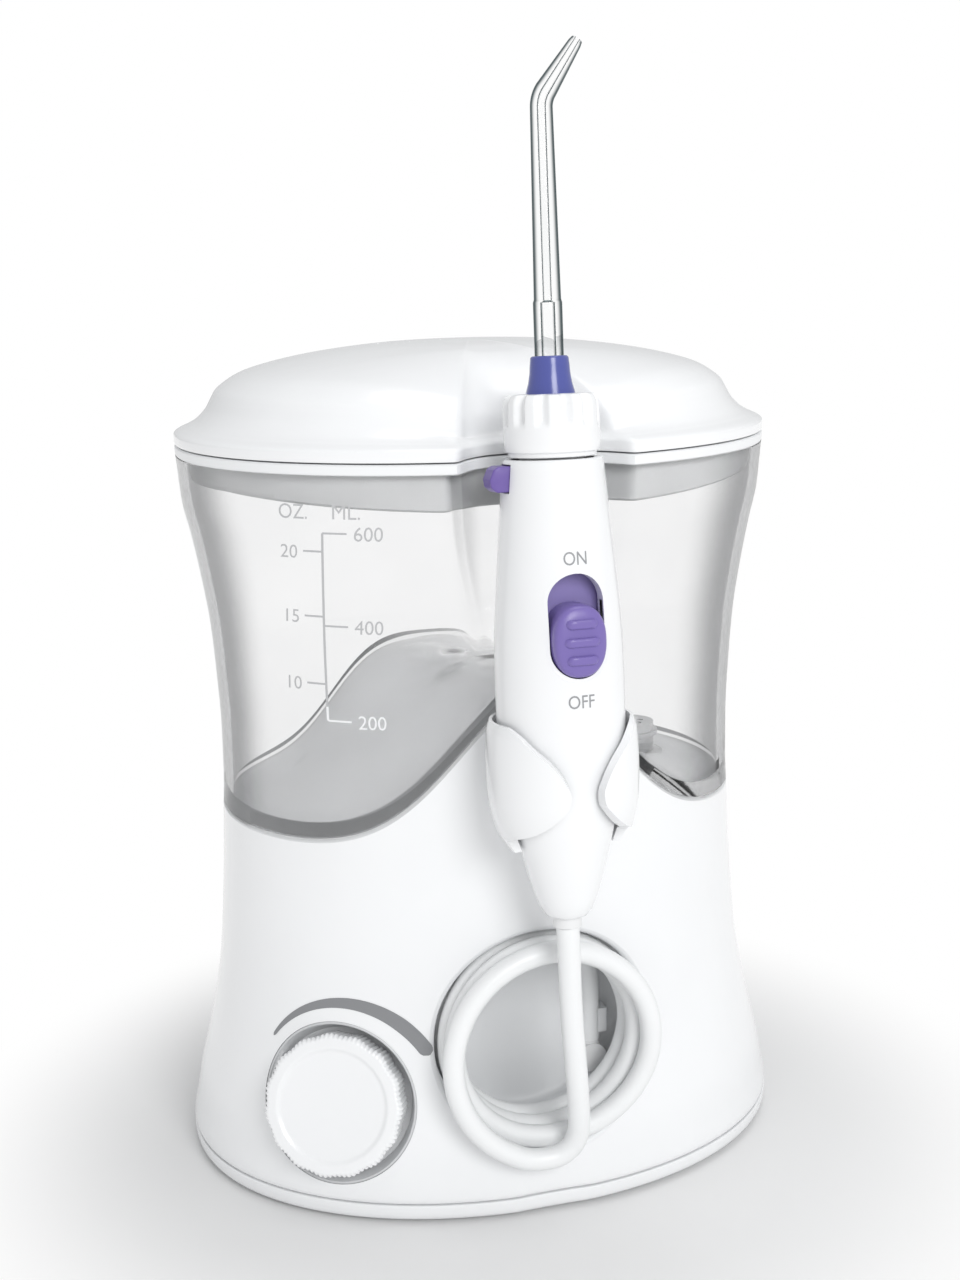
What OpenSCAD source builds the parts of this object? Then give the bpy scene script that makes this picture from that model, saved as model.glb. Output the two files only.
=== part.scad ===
// Countertop water flosser: hourglass base with pump and pressure dial,
// lift-off water tank, tip tray with hinged cover, hand piece in a cradle,
// and a coiled supply hose kept in a round pocket. All sizes in millimetres.
// +Z up, front faces -Y, +X to the viewer's right, origin under the middle.

/* [Body] */
// half width of the base at the floor
base_a = 74.5; // [60:0.5:90]
// half depth of the base at the floor
base_b = 57.8; // [45:0.1:70]
// half width of the waist
waist_a = 62.6; // [50:0.1:75]
// half depth of the waist
waist_b = 50; // [40:0.1:60]
// half width of the rim
rim_a = 70; // [55:0.5:85]
// half depth of the rim
rim_b = 58.9; // [45:0.1:70]
// height of the tank rim
rim_z = 171.7; // [150:0.1:190]
// wall thickness of the housing
wall = 2.4; // [1.6:0.1:3.2]
// height of the joint between base plate and housing
plate_z = 5.4; // [4:0.1:8]

/* [Tank] */
// wall thickness of the tank
tank_wall = 2.2; // [1.5:0.1:3]
// height of the low sides of the tank floor
trough_z = 88; // [80:0.5:95]
// rise of the floor at the front
rise_front = 35; // [25:0.5:38]
// rise of the floor at the back
rise_back = 25; // [18:0.5:32]
// vertical gap between tank and housing
dock_gap = 0.6; // [0.4:0.1:1]

/* [Dial] */
// knob diameter
knob_d = 31.6; // [26:0.2:36]
// knob height
knob_h = 8.5; // [6:0.5:12]
// turn of the dial to the left
dial_turn = 28; // [10:1:40]
// upward tilt of the dial
dial_tilt = 16; // [5:1:25]

/* [Hose pocket] */
// pocket diameter
pocket_d = 51; // [46:0.5:54]
// height of the pocket centre
pocket_z = 41; // [38:0.5:44]
// position of the pocket floor
pocket_y = -32; // [-36:0.5:-28]
// hose outer diameter
hose_d = 5; // [4:0.1:5.4]

/* [Hand piece] */
// lean of the hand piece towards the body
lean = 4; // [2:0.5:6]
// largest radius of the grip
grip_r = 13.7; // [12:0.1:14]
// wall thickness of the grip
grip_wall = 1.8; // [1.4:0.1:2.4]
// travel of the slide switch
switch_travel = 6; // [4:0.5:8]
// bend of the jet tip
tip_bend = 35; // [20:1:60]

/* [Drive] */
// teeth on the motor pinion
pinion_teeth = 12; // [10:1:16]
// teeth on the drive gear
gear_teeth = 36; // [30:1:40]
// gear module
gear_m = 1; // [0.8:0.1:1.2]
// crank throw
throw = 2.5; // [1.5:0.5:3]

/* [Hidden] */
$fn = 48;
frame_y = 8.3;
N = 64;
white = [0.93, 0.94, 0.95];
soft = [0.86, 0.87, 0.88];
smoke = [0.62, 0.63, 0.65, 0.55];
purple = [0.40, 0.36, 0.62];
grey = [0.62, 0.63, 0.65];
dark = [0.25, 0.26, 0.28];
steel = [0.72, 0.73, 0.75];
rubber = [0.2, 0.2, 0.21];
nylon = [0.88, 0.87, 0.82];
brass = [0.78, 0.66, 0.38];
board = [0.2, 0.42, 0.28];

// half width and half depth at each height
PROF = [
    [0, base_a, base_b], [plate_z, base_a - 0.1, base_b - 0.1],
    [12, base_a - 1.3, base_b - 0.8], [18.5, base_a - 2.5, base_b - 1.6],
    [25.5, base_a - 4.3, base_b - 2.8], [36, waist_a + 5.2, waist_b + 3.3],
    [50, waist_a + 2.9, waist_b + 1.6], [62, waist_a + 1.9, waist_b + 0.8],
    [74, waist_a + 1.1, waist_b + 0.3], [85, waist_a + 0.6, waist_b],
    [94, waist_a + 0.1, waist_b], [106, waist_a, waist_b + 0.2],
    [119, waist_a + 0.5, waist_b + 1], [131, rim_a - 6.1, rim_b - 6.7],
    [143.5, rim_a - 4.4, rim_b - 4.7], [154, rim_a - 2.5, rim_b - 2.7],
    [161, rim_a - 1, rim_b - 1.3], [168, rim_a - 0.4, rim_b - 0.5],
    [174, rim_a, rim_b], [200, rim_a, rim_b]];
function pa(z) = lookup(z, [for (p = PROF) [p[0], p[1]]]);
function pb(z) = lookup(z, [for (p = PROF) [p[0], p[2]]]);

// angles round the plan, closer together at the front
function ang(i) = let (u = 360 * i / N) -90 + u - 30 * sin(u);
function spow(v, e) = sign(v) * pow(abs(v), e);
function groove(x, z, t) = -49.5 + 0.075 * (min(z, 154) - 110) + t
    - 13.5 * pow(abs(x) / (20.6 + t), 3);
function pt(a, b, z, t, s, i) = let (
    q = ang(i), x = (a - t) * s * spow(cos(q), 0.95),
    y0 = (b - t) * spow(sin(q), 0.95),
    y1 = y0 < 0 ? max(y0, groove(x / s, z, t)) : y0)
    [x, y1 * s, z];
// plan ring at height z, inset t, scaled s towards the middle
function ring(z, t = 0, s = 1) = [for (i = [0 : N - 1]) pt(pa(z), pb(z), z, t, s, i)];
// height of the saddle-shaped tank floor
function fy(y) = min(1, max(0, (y + 51) / 101));
function saddle(x, y) = let (f = fy(y)) trough_z
    + (rise_front + (rise_back - rise_front) * f)
    * exp(-pow(abs(x) / (25.5 + 4.5 * f), 2 + 1.2 * f));
// point on the wall where it meets the saddle surface raised by dz
function wpt(i, dz, t, s, k = 0, z = 95) = let (
    p = pt(pa(z), pb(z), z, t, s, i), h = saddle(p[0], p[1]) + dz)
    k < 12 ? wpt(i, dz, t, s, k + 1, 0.4 * z + 0.6 * h) : [p[0], p[1], h];
function seam(dz, t = 0, s = 1) = [for (i = [0 : N - 1]) wpt(i, dz, t, s)];
// inner rings of a saddle-shaped cap
function cap(dz, t, s) = [for (i = [0 : N - 1]) let (p = wpt(i, dz, t, 1))
    [p[0] * s, p[1] * s, saddle(p[0] * s, p[1] * s) + dz]];
// part way from ring p down to height z0, following the wall
function mix(p, z0, k, t) = [for (i = [0 : N - 1]) let (z = z0 + (p[i][2] - z0) * k)
    pt(pa(z), pb(z), z, t, 1, i)];

// closed solid through a list of rings
module loft(rings, c0, c1, flip = false) {
    m = len(rings);
    pts = concat([c0], [for (r = rings) for (p = r) p], [c1]);
    last = 1 + m * N;
    faces = concat(
        [for (i = [0 : N - 1]) [0, 1 + (i + 1) % N, 1 + i]],
        [for (k = [0 : m - 2]) for (i = [0 : N - 1])
            [1 + k * N + i, 1 + k * N + (i + 1) % N, 1 + (k + 1) * N + (flip ? (i + 1) % N : i)]],
        [for (k = [0 : m - 2]) for (i = [0 : N - 1])
            [1 + k * N + (flip ? i : (i + 1) % N), 1 + (k + 1) * N + (i + 1) % N, 1 + (k + 1) * N + i]],
        [for (i = [0 : N - 1]) [last, 1 + (m - 1) * N + i, 1 + (m - 1) * N + (i + 1) % N]]);
    polyhedron(pts, [for (f = faces) [f[0], f[2], f[1]]], convexity = 8);
}

module pl() translate([0, frame_y, 0]) children();
module hp() translate([0, frame_y - 67, 77]) rotate([-lean, 0, 0]) children();
// dial frame: local Z points out of the body
dial_c = [-46.5, -40.6, 27.5];
module dl() translate([dial_c[0], dial_c[1] + frame_y, dial_c[2]])
    rotate([0, 0, -dial_turn]) rotate([90 - dial_tilt, 0, 0]) children();
module ycyl(d, y0, y1, x, z) translate([x, y1, z]) rotate([90, 0, 0]) cylinder(d = d, h = y1 - y0);
module xcyl(d, x0, x1, y, z) translate([x0, y, z]) rotate([0, 90, 0]) cylinder(d = d, h = x1 - x0);
module tube(od, id, h) difference() { cylinder(d = od, h = h); translate([0, 0, -1]) cylinder(d = id, h = h + 2); }
module coil_spring(d, w, h, n) for (k = [0 : n - 1]) translate([0, 0, w / 2 + k * (h - w) / (n - 1)])
    rotate_extrude($fn = 32) translate([d / 2 - w / 2, 0]) circle(d = w, $fn = 16);

POSTS = [[-58, -8], [58, -8], [-36, 36], [36, 36]];
MOUNTS = [[-4, -2], [-4, 32], [11, -2], [11, 32]];

// ---------------------------------------------------------------- housing
module main_housing() color(white) pl() {
    inner = [for (k = [0.25, 0.5, 0.7, 0.85, 1]) cap(-dock_gap - wall, wall, k)];
    top = seam(-dock_gap, 0);
    itop = seam(-dock_gap - wall, wall);
    difference() {
        union() {
            loft(concat(inner, [for (z = [74, 50, 36, 25.5, 12, plate_z + 0.1]) ring(z, wall)],
                [for (z = [plate_z + 0.1, 12, 18.5, 25.5, 36, 50, 62, 74]) ring(z)], [top],
                [for (k = [0.95, 0.87, 0.77, 0.65, 0.52, 0.37, 0.2]) cap(-dock_gap, 0, k)]),
                [0, 0, saddle(0, 0) - dock_gap - wall], [0, 0, saddle(0, 0) - dock_gap]);
            // pocket tube and floor
            intersection() {
                ycyl(pocket_d + 4.4, -70, pocket_y + 2.2, 0, pocket_z);
                loft([for (z = [8, 25.5, 36, 50, 74]) ring(z, 1)], [0, 0, 8], [0, 0, 74]);
            }
            for (p = POSTS) translate([p[0], p[1], plate_z + 1.9]) cylinder(d = 8, h = 79.3);
        }
        ycyl(pocket_d, -75, pocket_y, 0, pocket_z);
        // dial seat
        translate([0, -frame_y, 0]) dl() { translate([0, 0, -6]) cylinder(d = 37.4, h = 30); }
        for (p = POSTS) translate([p[0], p[1], plate_z]) cylinder(d = 3, h = 16);
        // holder stem and screw
        ycyl(9.4, -56, -44, 0, 100);
        // tank port
        translate([44, 8, 70]) cylinder(d = 16.4, h = 30);
        // hose nipple
        ycyl(7.4, pocket_y - 1, pocket_y + 4, 16.5, 27);
        // hose clip feet
        ycyl(3, pocket_y - 1, pocket_y + 4, 16.5, 36);
        // cable entry
        ycyl(11, 45, 70, 30, 16);
    }
}

module bottom_plate() color(white) pl() difference() {
    union() {
        loft([for (k = [0.5, 1]) ring(1, 2.2, k), ring(1.6, 0.9), ring(2.6, 0.3), ring(plate_z - 0.3),
            ring(plate_z - 0.3, wall + 0.6), ring(3.2, wall + 0.6), ring(3.2, wall + 0.6, 0.5)],
            [0, 0, 1], [0, 0, 3.2]);
        for (p = POSTS) translate([p[0], p[1], 3]) cylinder(d = 9, h = plate_z + 1.9 - 3);
        for (x = [21, 51]) translate([x, -16, 3]) cube([4, 5.6, 5]);
        for (m = MOUNTS) translate([m[0], m[1], 3]) difference() { cylinder(d = 11, h = 2.4); translate([0, 0, 0.2]) cylinder(d = 8.2, h = 3); }
    }
    translate([21.9, -14, 3.2]) cube([32.2, 1.6, 10]);
    for (p = POSTS) translate([p[0], p[1], -1]) { cylinder(d = 3.6, h = 20); cylinder(d = 6.6, h = 4.2); }
    for (p = FEET) translate([p[0], p[1], 0]) cylinder(d = 12, h = 2);
}
FEET = [[-46, -28], [46, -28], [-52, 16], [52, 16]];
module rubber_feet() color(rubber) pl() for (p = FEET) translate([p[0], p[1], 0]) {
    cylinder(d = 11.9, h = 2); cylinder(d1 = 10, d2 = 11.9, h = 0.5); }
module housing_screws() color(steel) pl() for (p = POSTS) translate([p[0], p[1], 1]) difference() {
    union() { cylinder(d = 5.6, h = 2.2); cylinder(d = 2.9, h = 14); }
    translate([0, 0, -0.5]) cylinder(d = 2.2, h = 1.5, $fn = 6);
}
module power_inlet() color(dark) pl() translate([30, 0, 16]) {
    difference() {
        union() { ycyl(10.8, 42, 53.6, 0, 0); ycyl(14, 42.5, 44.5, 0, 0); }
        ycyl(5.2, 38, 60, 0, 0);
    }
}

// ---------------------------------------------------------------- dial
module dial_bezel() color(grey) difference() {
    intersection() {
        dl() translate([0, 0, -5.6]) cylinder(d = 37.4, h = 16);
        pl() loft([for (z = [4, 8, 18.5, 25.5, 36, 50, 56]) ring(z, 0.15)], [0, 0, 4], [0, 0, 56]);
    }
    dl() { translate([0, 0, -3.6]) cylinder(d1 = 32.8, d2 = 36, h = 5.2); translate([0, 0, 1.59]) cylinder(d = 36, h = 14);
        translate([0, 0, -7]) cylinder(d = 9, h = 10); }
}
module dial_knob() color(white) dl() translate([0, 0, -2.9]) difference() {
    union() {
        cylinder(d1 = knob_d - 0.4, d2 = knob_d - 1, h = knob_h - 1.5);
        translate([0, 0, knob_h - 1.51]) cylinder(d1 = knob_d - 1, d2 = knob_d - 4.4, h = 1.5);
    }
    translate([0, 0, knob_h - 0.7]) cylinder(d1 = 22, d2 = 25, h = 1);
    for (a = [0 : 12 : 359]) rotate([0, 0, a]) translate([knob_d / 2 + 0.35, 0, 1.2]) cylinder(d = 2, h = 12, $fn = 16);
    translate([0, 0, -1]) cylinder(d = 26, h = 3.2);
    translate([0, 0, 2]) cylinder(d = 6, h = 3.6);
}
module regulator_spindle() color(nylon) dl() {
    translate([0, 0, -16]) cylinder(d = 5.6, h = 18.6);
    translate([0, 0, -0.9]) cylinder(d = 6, h = 3.5);
    translate([0, 0, -15.9]) cylinder(d = 9, h = 2);
}
module regulator_body() color(dark) dl() difference() {
    union() {
        translate([0, 0, -22]) cylinder(d = 18, h = 15);
        translate([0, 0, -7.3]) cylinder(d = 22, h = 1.7);
        translate([0, 0, -30]) cylinder(d = 5, h = 9);
        translate([0, 0, -19]) rotate([-90, 0, 0]) cylinder(d = 5, h = 14);
    }
    translate([0, 0, -18]) cylinder(d = 9.8, h = 9);
    translate([0, 0, -10]) cylinder(d = 6.4, h = 10);
    translate([0, 0, -19]) rotate([-90, 0, 0]) cylinder(d = 2.6, h = 20);
    translate([0, 0, -31]) cylinder(d = 2.6, h = 14);
}

// ---------------------------------------------------------------- hose bay
module hose_nipple() color(soft) pl() difference() {
    union() {
        ycyl(7.2, pocket_y - 5.6, pocket_y + 8, 16.5, 27);
        ycyl(10.5, pocket_y + 2.2, pocket_y + 4, 16.5, 27);
        ycyl(3.2, pocket_y + 7.9, pocket_y + 12, 16.5, 27);
        translate([16.5, pocket_y - 2.8, 27]) cylinder(d = 4.8, h = 5.5);
    }
    ycyl(2, pocket_y - 4, pocket_y + 14, 16.5, 27);
    translate([16.5, pocket_y - 2.8, 27]) cylinder(d = 1.4, h = 6);
}
module hose_clip() color(soft) pl() difference() {
    union() {
        translate([12.6, pocket_y - 4.6, 33]) cube([7.8, 4.6, 6]);
        ycyl(2.9, pocket_y - 0.2, pocket_y + 2, 16.5, 36);
    }
    translate([16.5, pocket_y - 2.8, 30]) cylinder(d = 5.04, h = 12);
    translate([14.9, pocket_y - 8, 30]) cube([3.2, 5, 12]);
}
// cradle: round stem on the body, two wings that wrap the grip
HIN = [[15.5, 10.4], [20.5, 12], [26, 13.1], [33, 14.1], [40, 14.35], [43.5, 14.6]];
module handle_holder() color(white) {
    pl() difference() {
        union() {
            ycyl(15.4, -54.5, -50.15, 0, 100);
            ycyl(9.3, -50.2, -46.4, 0, 100);
        }
        translate([0, -frame_y, 0]) hp() rotate_extrude($fn = 64) polygon(concat([[0, 5], [7.6, 5]],
            [for (p = HIN) [p[1] - 0.02, p[0]]], [[14.6, 60], [0, 60]]));
        ycyl(2.4, -50, -44, 0, 100);
    }
    difference() {
        hp() rotate_extrude($fn = 64) polygon(concat([for (p = HIN) [p[1], p[0]]],
            [[15.3, 43.5], [16, 41], [16.3, 34], [16.1, 27], [14.6, 20], [12, 15.5]]));
        // leaf-shaped front opening
        hp() translate([0, -6, 0]) rotate([90, 0, 0]) linear_extrude(20)
            polygon([[-16, 46], [-13.2, 42.6], [-10.8, 39.6], [-7.4, 36.4], [-4.9, 33], [-3.6, 29.6],
                [-3.9, 27.6], [-6.2, 24.6], [-9.6, 21.6], [-13.4, 19], [-16, 12], [16, 12], [13.4, 19],
                [9.6, 21.6], [6.2, 24.6], [3.9, 27.6], [3.6, 29.6], [4.9, 33], [7.4, 36.4], [10.8, 39.6],
                [13.2, 42.6], [16, 46]]);
        // clear of the body behind
        pl() translate([-20, -51.5, 80]) cube([40, 20, 60]);
    }
}

// ---------------------------------------------------------------- drive
mx = 14; mz = 24; gz = mz + gear_m * (pinion_teeth + gear_teeth) / 2;
px = 3;
module gear(n, m, h, ph = 0) {
    linear_extrude(h) rotate(ph) union() {
        circle(r = m * n / 2 - 1.2 * m, $fn = n * 2);
        for (k = [0 : n - 1]) rotate(360 * k / n) polygon([
            [m * n / 2 - 1.5 * m, -0.95 * m], [m * n / 2 - 0.1 * m, -0.58 * m], [m * n / 2 + 0.85 * m, -0.28 * m],
            [m * n / 2 + 0.85 * m, 0.28 * m], [m * n / 2 - 0.1 * m, 0.58 * m], [m * n / 2 - 1.5 * m, 0.95 * m]]);
    }
}
module atx(x, y, z) translate([x, y, z]) rotate([0, 90, 0]) children();
module motor_can() color(steel) pl() difference() {
    union() {
        atx(-50, mx, mz) cylinder(d = 31, h = 39.4);
        atx(-51.5, mx, mz) cylinder(d = 24, h = 1.6);
        atx(-10.7, mx, mz) cylinder(d = 9.9, h = 2.2);
    }
    atx(-48, mx, mz) cylinder(d = 28.6, h = 35.5);
    atx(-60, mx, mz) cylinder(d = 3.6, h = 60);
}
module motor_rotor() color(steel) pl() {
    atx(-49.5, mx, mz) cylinder(d = 3, h = 50);
    atx(-44, mx, mz) cylinder(d = 26, h = 26);
    atx(-17.9, mx, mz) cylinder(d = 10, h = 5);
}
module motor_pinion() color(brass) pl() difference() {
    atx(-7.8, mx, mz) gear(pinion_teeth, gear_m, 8, 180 / pinion_teeth);
    atx(-9, mx, mz) cylinder(d = 3, h = 12);
}
module pump_frame() color(dark) pl() difference() {
    union() {
        translate([-10.6, -7, 10]) cube([2.2, 44, 62]);
        translate([-10.6, -7, 8.2]) cube([26, 44, 2.4]);
        translate([-10.6, 2, 69.6]) cube([24, 24, 2.4]);
        translate([-10.6, -2, 52]) cube([2.2, 32, 20]);
    }
    atx(-12, mx, mz) cylinder(d = 10, h = 5);
    atx(-12, mx, gz) cylinder(d = 4, h = 5);
    translate([px, mx, 60]) cylinder(d = 12, h = 20);
    for (m = MOUNTS) translate([m[0], m[1], 5]) cylinder(d = 5, h = 10);
    for (s = [-1, 1]) translate([px + 8.3 * s, mx, 60]) cylinder(d = 1.6, h = 20);
    translate([-12, 4, mz + 13]) cube([5, 20, 4]);
}
module gear_axle() color(steel) pl() {
    atx(-11.6, mx, gz) cylinder(d = 4, h = 11);
    atx(-11.9, mx, gz) cylinder(d = 7, h = 1.25);
}
module drive_gear() color(nylon) pl() difference() {
    union() {
        atx(-7, mx, gz) gear(gear_teeth, gear_m, 5.5, 0);
        atx(-1.6, mx, gz) cylinder(d = 11, h = 2.2);
        translate([0, -throw, 0]) atx(0.5, mx, gz) cylinder(d = 3.2, h = 5.6);
    }
    atx(-9, mx, gz) cylinder(d = 4.2, h = 8.6);
}
module piston_rod() color(nylon) pl() difference() {
    union() {
        translate([px - 1.6, mx - 9, gz - 6.6]) cube([3.2, 18, 13.2]);
        translate([px, mx, gz + 6.5]) cylinder(d = 4.4, h = 76 - gz - 6.5);
        translate([px, mx, 75.9]) cylinder(d = 8.4, h = 7);
    }
    translate([px - 3, mx - 5.4, gz - 4.4]) cube([6, 10.8, 8.8]);
    translate([px, mx, 78.6]) difference() { cylinder(d = 10, h = 1.8); translate([0, 0, -1]) cylinder(d = 6.6, h = 4); }
}
module piston_seal() color(rubber) pl() translate([px, mx, 78.7]) difference() {
    cylinder(d = 8.9, h = 1.6); translate([0, 0, -1]) cylinder(d = 6.6, h = 4); }
module pump_cylinder() color(nylon) pl() translate([px, mx, 68]) difference() {
    union() { cylinder(d = 11.8, h = 24); translate([0, 0, 4]) cylinder(d = 22, h = 2.2);
        translate([0, 0, 21.8]) cylinder(d = 18, h = 2.2); }
    translate([0, 0, -1]) cylinder(d = 9, h = 30);
    for (s = [-1, 1]) translate([8.3 * s, 0, 2]) cylinder(d = 2.1, h = 6);
}
module valve_head() color(dark) pl() difference() {
    union() {
        translate([px - 11, mx - 9, 92]) cube([22, 18, 10]);
        xcyl(5, px + 10, px + 20, mx, 97);
        xcyl(5, px - 20, px - 10, mx, 97);
    }
    translate([px - 4, mx - 3, 91]) cube([8, 6, 3.2]);
    for (s = [-1, 1]) {
        translate([px + 6 * s, mx, 93]) cylinder(d = 4.6, h = 6.4);
        xcyl(2.4, px + (s > 0 ? 3 : -22), px + (s > 0 ? 22 : -3), mx, 97);
        translate([px + 4 * s - 2.6, mx - 1.3, 93.2]) cube([5.2, 2.6, 1.6]);
    }
}
module check_valves() color(steel) pl() for (s = [-1, 1]) translate([px + 6 * s, mx, 93]) {
    translate([0, 0, 1.8]) sphere(d = 3.6, $fn = 24);
    translate([0, 0, 3.5]) coil_spring(3.6, 0.5, 2.7, 4);
}
module pump_screws() color(steel) pl() for (s = [-1, 1]) translate([px + 8.3 * s, mx, 67.5]) {
    cylinder(d = 1.6, h = 8.1); translate([0, 0, 6.7]) cylinder(d = 3.6, h = 1.4); }
module rubber_mounts() color(rubber) pl() for (m = MOUNTS) translate([m[0], m[1], 3.2]) difference() {
    union() { cylinder(d = 8, h = 5); cylinder(d = 4.9, h = 8.3); translate([0, 0, 7.4]) cylinder(d = 6.6, h = 1.2); }
    translate([0, 0, -1]) cylinder(d = 1.6, h = 20);
}
module control_board() color(board) pl() {
    translate([22, -14, 3.2]) cube([32, 1.6, 48]);
    translate([26, -12.5, 16]) cube([10, 8, 14]);
    translate([44, -12.5, 30]) rotate([-90, 0, 0]) cylinder(d = 9, h = 12);
    translate([30, -12.5, 38]) cube([14, 3, 8]);
    translate([50, -18, 20]) cube([5, 4.1, 5]);
}

// swept tube through a list of points: each [point, normal a, normal b]
module sweep(P, A, B, r, k = 10) {
    m = len(P);
    pts = concat([P[0]], [for (i = [0 : m - 1]) for (j = [0 : k - 1])
        P[i] + r * (cos(360 * j / k) * A[i] + sin(360 * j / k) * B[i])], [P[m - 1]]);
    faces = concat([for (j = [0 : k - 1]) [0, 1 + j, 1 + (j + 1) % k]],
        [for (i = [0 : m - 2]) for (j = [0 : k - 1]) [1 + i * k + j, 1 + (i + 1) * k + j, 1 + i * k + (j + 1) % k]],
        [for (i = [0 : m - 2]) for (j = [0 : k - 1]) [1 + (i + 1) * k + j, 1 + (i + 1) * k + (j + 1) % k, 1 + i * k + (j + 1) % k]],
        [for (j = [0 : k - 1]) [1 + m * k, 1 + (m - 1) * k + (j + 1) % k, 1 + (m - 1) * k + j]]);
    polyhedron(pts, faces, convexity = 10);
}
function unit(v) = v / norm(v);
function crm(p, i, t) = let (n = len(p), a = p[max(0, i - 1)], b = p[i], c = p[min(n - 1, i + 1)], d = p[min(n - 1, i + 2)])
    0.5 * ((2 * b) + (c - a) * t + (2 * a - 5 * b + 4 * c - d) * t * t + (3 * b - a - 3 * c + d) * t * t * t);
function path(p, n) = concat([for (i = [0 : len(p) - 2]) for (j = [0 : n - 1]) crm(p, i, j / n)], [p[len(p) - 1]]);
function tan_at(P, i) = unit(P[min(len(P) - 1, i + 1)] - P[max(0, i - 1)]);
function frames(P, u, i = 0) = i >= len(P) ? [] : let (t = tan_at(P, i), v = unit(u - t * (t * u)))
    concat([[v, cross(t, v)]], frames(P, v, i + 1));
module hose(p, d, n = 5, u = [0.31, 0.87, 0.39], k = 10) {
    P = path(p, n); F = frames(P, unit(u));
    sweep(P, [for (f = F) f[0]], [for (f = F) f[1]], d / 2, k);
}

// tubes inside the base
module inlet_tube() color(nylon) pl() hose([[48, 8, 72], [48, 8, 66], [43, 10, 61], [37, 13, 63], [33.5, 14, 73],
    [31.5, 14, 81], [29, 14, 88], [26, 14, 93.4], [22.6, 14, 96.6]], 5, 4);
module outlet_tube() color(nylon) pl() hose([[-17, 14, 97], [-22, 13.8, 95.8], [-29.4, 10, 88.4], [-37, 3, 76],
    [-39, -8, 58], [-35, -17.6, 46], [-36.1, -21.1, 35.7]], 5, 4);
module supply_tube() color(nylon) pl() hose([[-33, -15.1, 19.2], [-29, -12.4, 18], [-18, -12.6, 19], [-4, -13.4, 22],
    [9, -14, 25.6], [15, -16, 27], [16.5, -20.2, 27]], 5, 4);

// ---------------------------------------------------------------- tank
tx = 44; ty = 8;
module tank_port() color(soft) pl() difference() {
    union() { translate([tx, ty, 80]) cylinder(d = 16.4, h = 7.4); translate([tx + 4, ty, 72]) cylinder(d = 5, h = 8.5); }
    difference() { translate([tx, ty, 81.5]) cylinder(d = 10.6, h = 10); translate([tx, ty, 81]) cylinder(d = 2.4, h = 5); }
    translate([tx + 4, ty, 70]) cylinder(d = 2, h = 14);
}
module tank_port_seal() color(rubber) pl() translate([tx, ty, 81.5]) difference() {
    cylinder(d = 10.6, h = 0.7); translate([0, 0, -1]) cylinder(d = 5, h = 3);
    translate([4, 0, -1]) cylinder(d = 2, h = 3); }
module water_tank() color(smoke) pl() difference() {
    loft(concat([for (k = [0.2, 0.37, 0.52, 0.65, 0.77, 0.87, 0.95]) cap(0, 0, k)], [seam(0, 0)], [mix(seam(0, 0), 131, 0.5, 0)],
        [for (z = [131, 143.5, 154, 161, rim_z]) ring(z)],
        [for (z = [rim_z, 161, 154, 143.5, 131]) ring(z, tank_wall)],
        [mix(seam(3, tank_wall), 131, 0.5, tank_wall)], [seam(3, tank_wall)],
        [for (k = [0.95, 0.87, 0.77, 0.65, 0.52, 0.37, 0.2]) cap(3, tank_wall, k)]),
        [0, 0, saddle(0, 0)], [0, 0, saddle(0, 0) + 3], true);
    translate([tx, ty, 80]) cylinder(d = 12, h = 20);
}
module tank_valve_body() color(soft) pl() translate([tx, ty, 0]) difference() {
    union() { translate([0, 0, 82.6]) cylinder(d = 9.8, h = 8); translate([0, 0, 88]) cylinder(d = 12, h = 8.6);
        translate([0, 0, 93.6]) cylinder(d = 14, h = 1); }
    translate([0, 0, 80]) cylinder(d = 4.4, h = 9);
    translate([0, 0, 88.4]) cylinder(d = 8, h = 7.2);
    for (a = [0 : 60 : 359]) rotate(a) translate([2.8, 0, 90]) cylinder(d = 1.6, h = 10);
}
module tank_valve_plunger() color(nylon) pl() translate([tx, ty, 0]) {
    translate([0, 0, 86.05]) cylinder(d = 3, h = 4); translate([0, 0, 89.6]) cylinder(d = 6.6, h = 1.6);
    translate([0, 0, 91]) cylinder(d = 2, h = 2.4); }
module tank_valve_spring() color(steel) pl() translate([tx, ty, 91.2]) coil_spring(4.2, 0.5, 4.4, 4);

// ---------------------------------------------------------------- tray and cover
hy = 61.6; hz = 174.3;
module tip_tray() color(white) pl() {
    t = tank_wall + 0.35;
    difference() {
        union() {
            loft([ring(163, t, 0.5), ring(163, t), ring(rim_z + 0.1, t), ring(rim_z + 0.1), ring(174.1), ring(174.1, 4.6),
                ring(164.6, 4.6), ring(164.6, 4.6, 0.5)], [0, 0, 163], [0, 0, 164.6]);
            for (s = [-1, 1]) {
                translate([s > 0 ? 10.4 : -20, 57.6, 172]) cube([9.6, 4, 2]);
                xcyl(4.4, s > 0 ? 10.4 : -20, s > 0 ? 20 : -10.4, hy, hz);
            }
        }
        xcyl(2, -30, 30, hy, hz);
        translate([-25, 57, 174.1]) cube([50, hy - 57 - 1.9, 4]);
    }
    // ribs that keep the tips apart
    for (x = [-30, -10, 10, 30]) translate([x, 5, 164.5]) cube([1.4, 30, 5]);
}
LID = [[1, 174.4], [1, 176.6], [0.957, 178.3], [0.93, 179.4], [0.893, 182], [0.872, 184.6], [0.858, 186.2],
    [0.82, 188.3], [0.775, 190], [0.66, 192.3], [0.5, 194.3], [0.3, 195.8], [0.12, 196.4]];
function dip(p) = let (f = min(1, max(0, (-p[1] - 22) / 25)), g = min(1, max(0, (p[2] - 176.6) / 8)))
    [p[0], p[1], p[2] - 7 * exp(-pow(p[0] / 24, 2)) * f * sqrt(f) * g];
function lring(s, z, t) = [for (i = [0 : N - 1]) let (p = pt(rim_a, rim_b, z, t, s, i))
    dip([p[0], p[1], p[2]])];
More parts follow.
